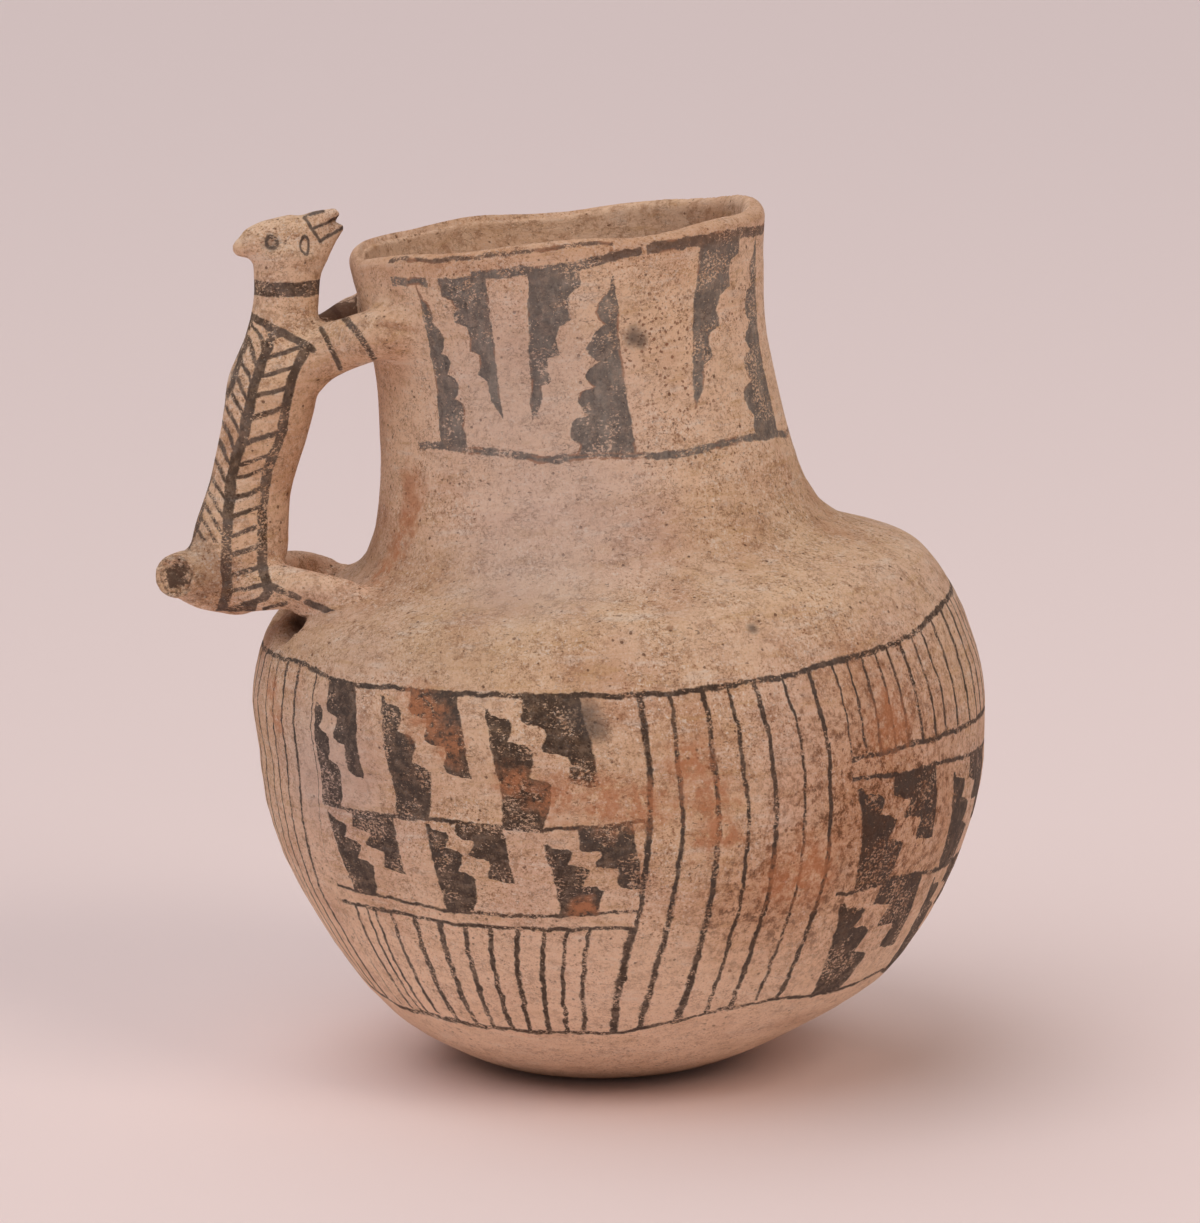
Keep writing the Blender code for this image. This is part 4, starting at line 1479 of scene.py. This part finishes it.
def paint_neck():
    """The neck and the lip."""
    paint = Paint(neck_clay)
    fired_clay(paint, -0.03, 0.35)
    paint.lay(soft_step(paint.parts(paint.place)[2], *BROWN_RIM) * 0.4, OCHRE_RED)
    ragged = ragged_edge(paint)
    paint.lay(spot_mask(paint, BLOOM_SPOTS, ragged * 0.3) * 0.4, BLOOM)
    cell = paint.node("TexVoronoi", None, {"Vector": paint.place, "Scale": 0.9})
    pitted = soft_step(cell + (paint.noise(1.6, 3.0, 0.7) - 0.5) * 1.2, 0.30, 0.20)
    paint.lay(spot_mask(paint, SPECKLED_SIDE, ragged * 0.4) * pitted * 0.75, PIT_RUST)
    depth, dark = neck_belt(paint, unsteady(paint))
    rusty = soft_step(depth, 0.7, 0.1) * soft_step(paint.noise(0.16), 0.5, 0.62)
    worn = soft_step(paint.streaks(0.3, 0.12, 4.0, 0.7), 0.44, 0.64)
    ink = paint.mix(dark, paint.mix(worn, NECK_INK, NECK_INK_WORN), NECK_INK_DARK)
    paint.lay(ink_cover(paint, depth) * 0.86, paint.mix(rusty * 0.6, ink, RUST))
    paint.lay(spot_mask(paint, NECK_RUST_SPOTS, ragged) * 0.7, RUST)
    paint.lay(spot_mask(paint, NECK_SOOT_SPOTS, ragged * 0.3) * 0.8, SOOT)
    clay_surface(paint)


paint_neck()

# %% [markdown]
# ## The animal's markings
#
# The painter drew a band around the neck, a long framed panel down each side with slanting bars, and
# the eyes, the mouth and bands on the legs. They are worked out in the animal's own flat side view:
# how far out from the pot a point lies, and how far up. Long wavering lines are curves of the height.
# Short strokes are straight, and the distance to one is found with a few vector operations.

# %% Name the animal's lines
FRONT_BORDER = (
    (4.0, 25.1), (6.6, 23.2), (10, 23.9), (15.3, 24.1), (20.5, 23.8), (25, 23.4), (29.6, 22.9),
    (33.7, 21.3), (38.2, 19.7), (43.9, 18.9), (48.4, 17.8), (53.8, 15.2), (54.4, 14.6),
)
MIDDLE_LINE = (
    (1.6, 31.8), (6.5, 30.8), (12.1, 31.1), (17.8, 30.8), (28.3, 29.7), (32.8, 28.5), (36.9, 27.3),
    (41.4, 26.3), (47.4, 25.0), (51.5, 23.6), (56.4, 21.2),
)
BACK_LINE = (
    (13.7, 38.3), (17.8, 36.3), (22.3, 35.1), (27, 33.6), (33.3, 32.4), (39, 31.3), (44.3, 29.9),
    (49.4, 28.1), (54.7, 26.1), (59.7, 24.8),
)
BAR_PLACES = (2.0, 5.9, 9.3, 13.2, 17.2, 20.9, 24.5, 28.4, 30.8, 35.3, 40.2, 44.5, 48.4, 52.1, 56.0)
BAR_RISE, BACK_BAR_RISE, BACK_BAR_PITCH = 0.33, 1.5, 3.3
STROKES = (
    # out and up of both ends, half the width, in millimetres
    ((24.4, 59.7), (14.0, 54.0), 0.75), ((30.0, 2.3), (24.1, 5.2), 0.7), ((23.4, 2.7), (20.3, 4.6), 0.5),
    ((23.2, 7.9), (17.9, 5.9), 0.7), ((16.1, 5.1), (9.3, 2.7), 0.7), ((12.0, 57.5), (8.5, 50.2), 0.55),
    ((7.8, 60.4), (2.8, 52.7), 0.65), ((14.2, 78.9), (11.5, 74.4), 0.36), ((12.6, 76.9), (7.0, 78.9), 0.34),
    ((11.4, 74.3), (6.5, 76.8), 0.36), ((14.2, 78.9), (10.5, 80.0), 0.3),
)
EYES = (
    # out and up of the middle, how the ring is squeezed, its radius and half its line
    ((21.1, 74.3), (1.0, 1.0, 1.0), 1.05, 0.4), ((14.6, 73.9), (1.45, 0.85, 1.0), 1.3, 0.36),
)
COLLAR_FROM, COLLAR_TO = 63.8, 66.8
FRONT_WIDTH, MIDDLE_WIDTH, BACK_WIDTH, BAR_WIDTH, BACK_BAR_WIDTH = 1.0, 1.02, 0.45, 0.5, 0.32
FRONT_FROM, BACK_FROM, BACK_BARS_FROM = 4.6, 14.0, 16.0
PANEL_FROM, PANEL_TO, PANEL_TO_RISE = 1.8, 46.9, 0.55
BAR_SPACING, BACK_BAR_SPACING = 3.6, 1.716
ANIMAL_INK = dye(80, 70, 66)
STAINS_AND_SHADE = (
    # place, radius in millimetres, share, tint
    (TAIL_END, 3.1, 0.9, dye(84, 70, 60)), (animal_point(0.44, 0.05, 0.13), 8.0, 0.35, FLECK_AND_SHADE_BROWN),
    (animal_point(0.264, 0.05, 0.925), 2.4, 0.35, SOOT), (animal_point(0.188, 0.05, 0.85), 1.0, 0.6, RUST),
    # painted shade: the far foreleg is darkened brown, in the pocket between the forelegs
    (animal_point(0.085, -0.09, 0.755), 7.5, 0.9, FLECK_AND_SHADE_BROWN),
)
print("strokes on the animal:", len(STROKES))

# %% Paint the animal


def side_view(paint, own):
    """How far out and how far up a point of the animal lies, in millimetres."""
    from_start = paint.vector("SUBTRACT", own, tuple(ANIMAL_START))
    return [paint.vector("DOT_PRODUCT", from_start, tuple(way / MM), out=1) for way in (AWAY, UPWARD)]


def stroke(paint, spot, start, end, half_width):
    """A straight brush stroke, as a signed distance."""
    start, end = Vector((*start, 0.0)), Vector((*end, 0.0))
    way = end - start
    from_start = paint.vector("SUBTRACT", spot, tuple(start))
    along = paint.vector("DOT_PRODUCT", from_start, tuple(way / way.dot(way)), out=1)
    share = paint.node("Clamp", None, {0: along})
    nearest = paint.vector("SCALE", tuple(way))
    paint.tree.links.new(share.socket, nearest.socket.node.inputs["Scale"])
    return half_width - paint.vector("DISTANCE", spot, paint.vector("ADD", nearest, tuple(start)), out=1)


def animal_marks(paint, out, up):
    """All marks on the animal's flat side view, as a signed distance."""
    front, middle, back = (paint.curve(up, knots) for knots in (FRONT_BORDER, MIDDLE_LINE, BACK_LINE))
    panel = least(up - PANEL_FROM, PANEL_TO + out * PANEL_TO_RISE - up)
    front_line = least(line(out, front, FRONT_WIDTH), up - FRONT_FROM)
    back_line = least(line(out, back, BACK_WIDTH), up - BACK_FROM)
    bar = paint.curve(up - (middle - out) * BAR_RISE, counted(BAR_PLACES))
    bars = BAR_WIDTH - abs(bar - bar.math("ROUND")) * BAR_SPACING
    bars = least(bars, middle - out, out - front)
    back_bar = (up - (out - middle) * BACK_BAR_RISE) / BACK_BAR_PITCH
    back_bars = BACK_BAR_WIDTH - abs(back_bar - back_bar.math("ROUND")) * BACK_BAR_SPACING
    back_bars = least(back_bars, out - middle, back + 0.3 - out, up - BACK_BARS_FROM)
    in_panel = least(most(front_line, line(out, middle, MIDDLE_WIDTH), back_line, bars, back_bars), panel)
    collar = least(up - COLLAR_FROM, COLLAR_TO - up)
    spot = paint.node("CombineXYZ", None, {0: out, 1: up})
    marks = most(in_panel, collar, *(stroke(paint, spot, *ends_and_width) for ends_and_width in STROKES))
    for (eye_out, eye_up), stretch, radius, half_width in EYES:
        off_eye = paint.vector("SUBTRACT", spot, (eye_out, eye_up, 0.0))
        away = paint.vector("LENGTH", paint.vector("MULTIPLY", off_eye, stretch), out=1)
        marks = most(marks, line(away, radius, half_width))
    return marks


def paint_animal():
    """The animal that is the handle."""
    paint = Paint(animal_clay)
    fired_clay(paint, 0.02, 0.2)
    own = paint.node("TexCoord", None, None, out=3)
    out, up = side_view(paint, own)
    wobble = paint.parts(paint.noise(0.22, 1.0, out=1))
    marks = animal_marks(paint, out + wobble[0] - 0.5, up + wobble[1] - 0.5)
    ink = paint.mix(soft_step(paint.noise(0.12), 0.45, 0.6), ANIMAL_INK, BODY_INK)
    paint.lay(ink_cover(paint, marks) * 0.9, ink)
    uneven = (paint.noise(0.9, 4.0, 0.7) - 0.5) * 2.4
    own_mm = paint.vector("MULTIPLY", own, (1 / MM,) * 3)
    # stains, and painted shade on the far foreleg
    for spot, size, share, tint in STAINS_AND_SHADE:
        away = paint.vector("DISTANCE", own_mm, tuple(spot / MM), out=1)
        paint.lay(soft_step(away / size + uneven, 1.1, 0.6) * share, tint)
    clay_surface(paint)


paint_animal()

# %% [markdown]
# ## Hand over the finished pitcher
#
# The dressed pitcher takes the place of the measured one and rides on the same body.

# %% Finish
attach(pitcher, "root")
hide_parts(NODE)
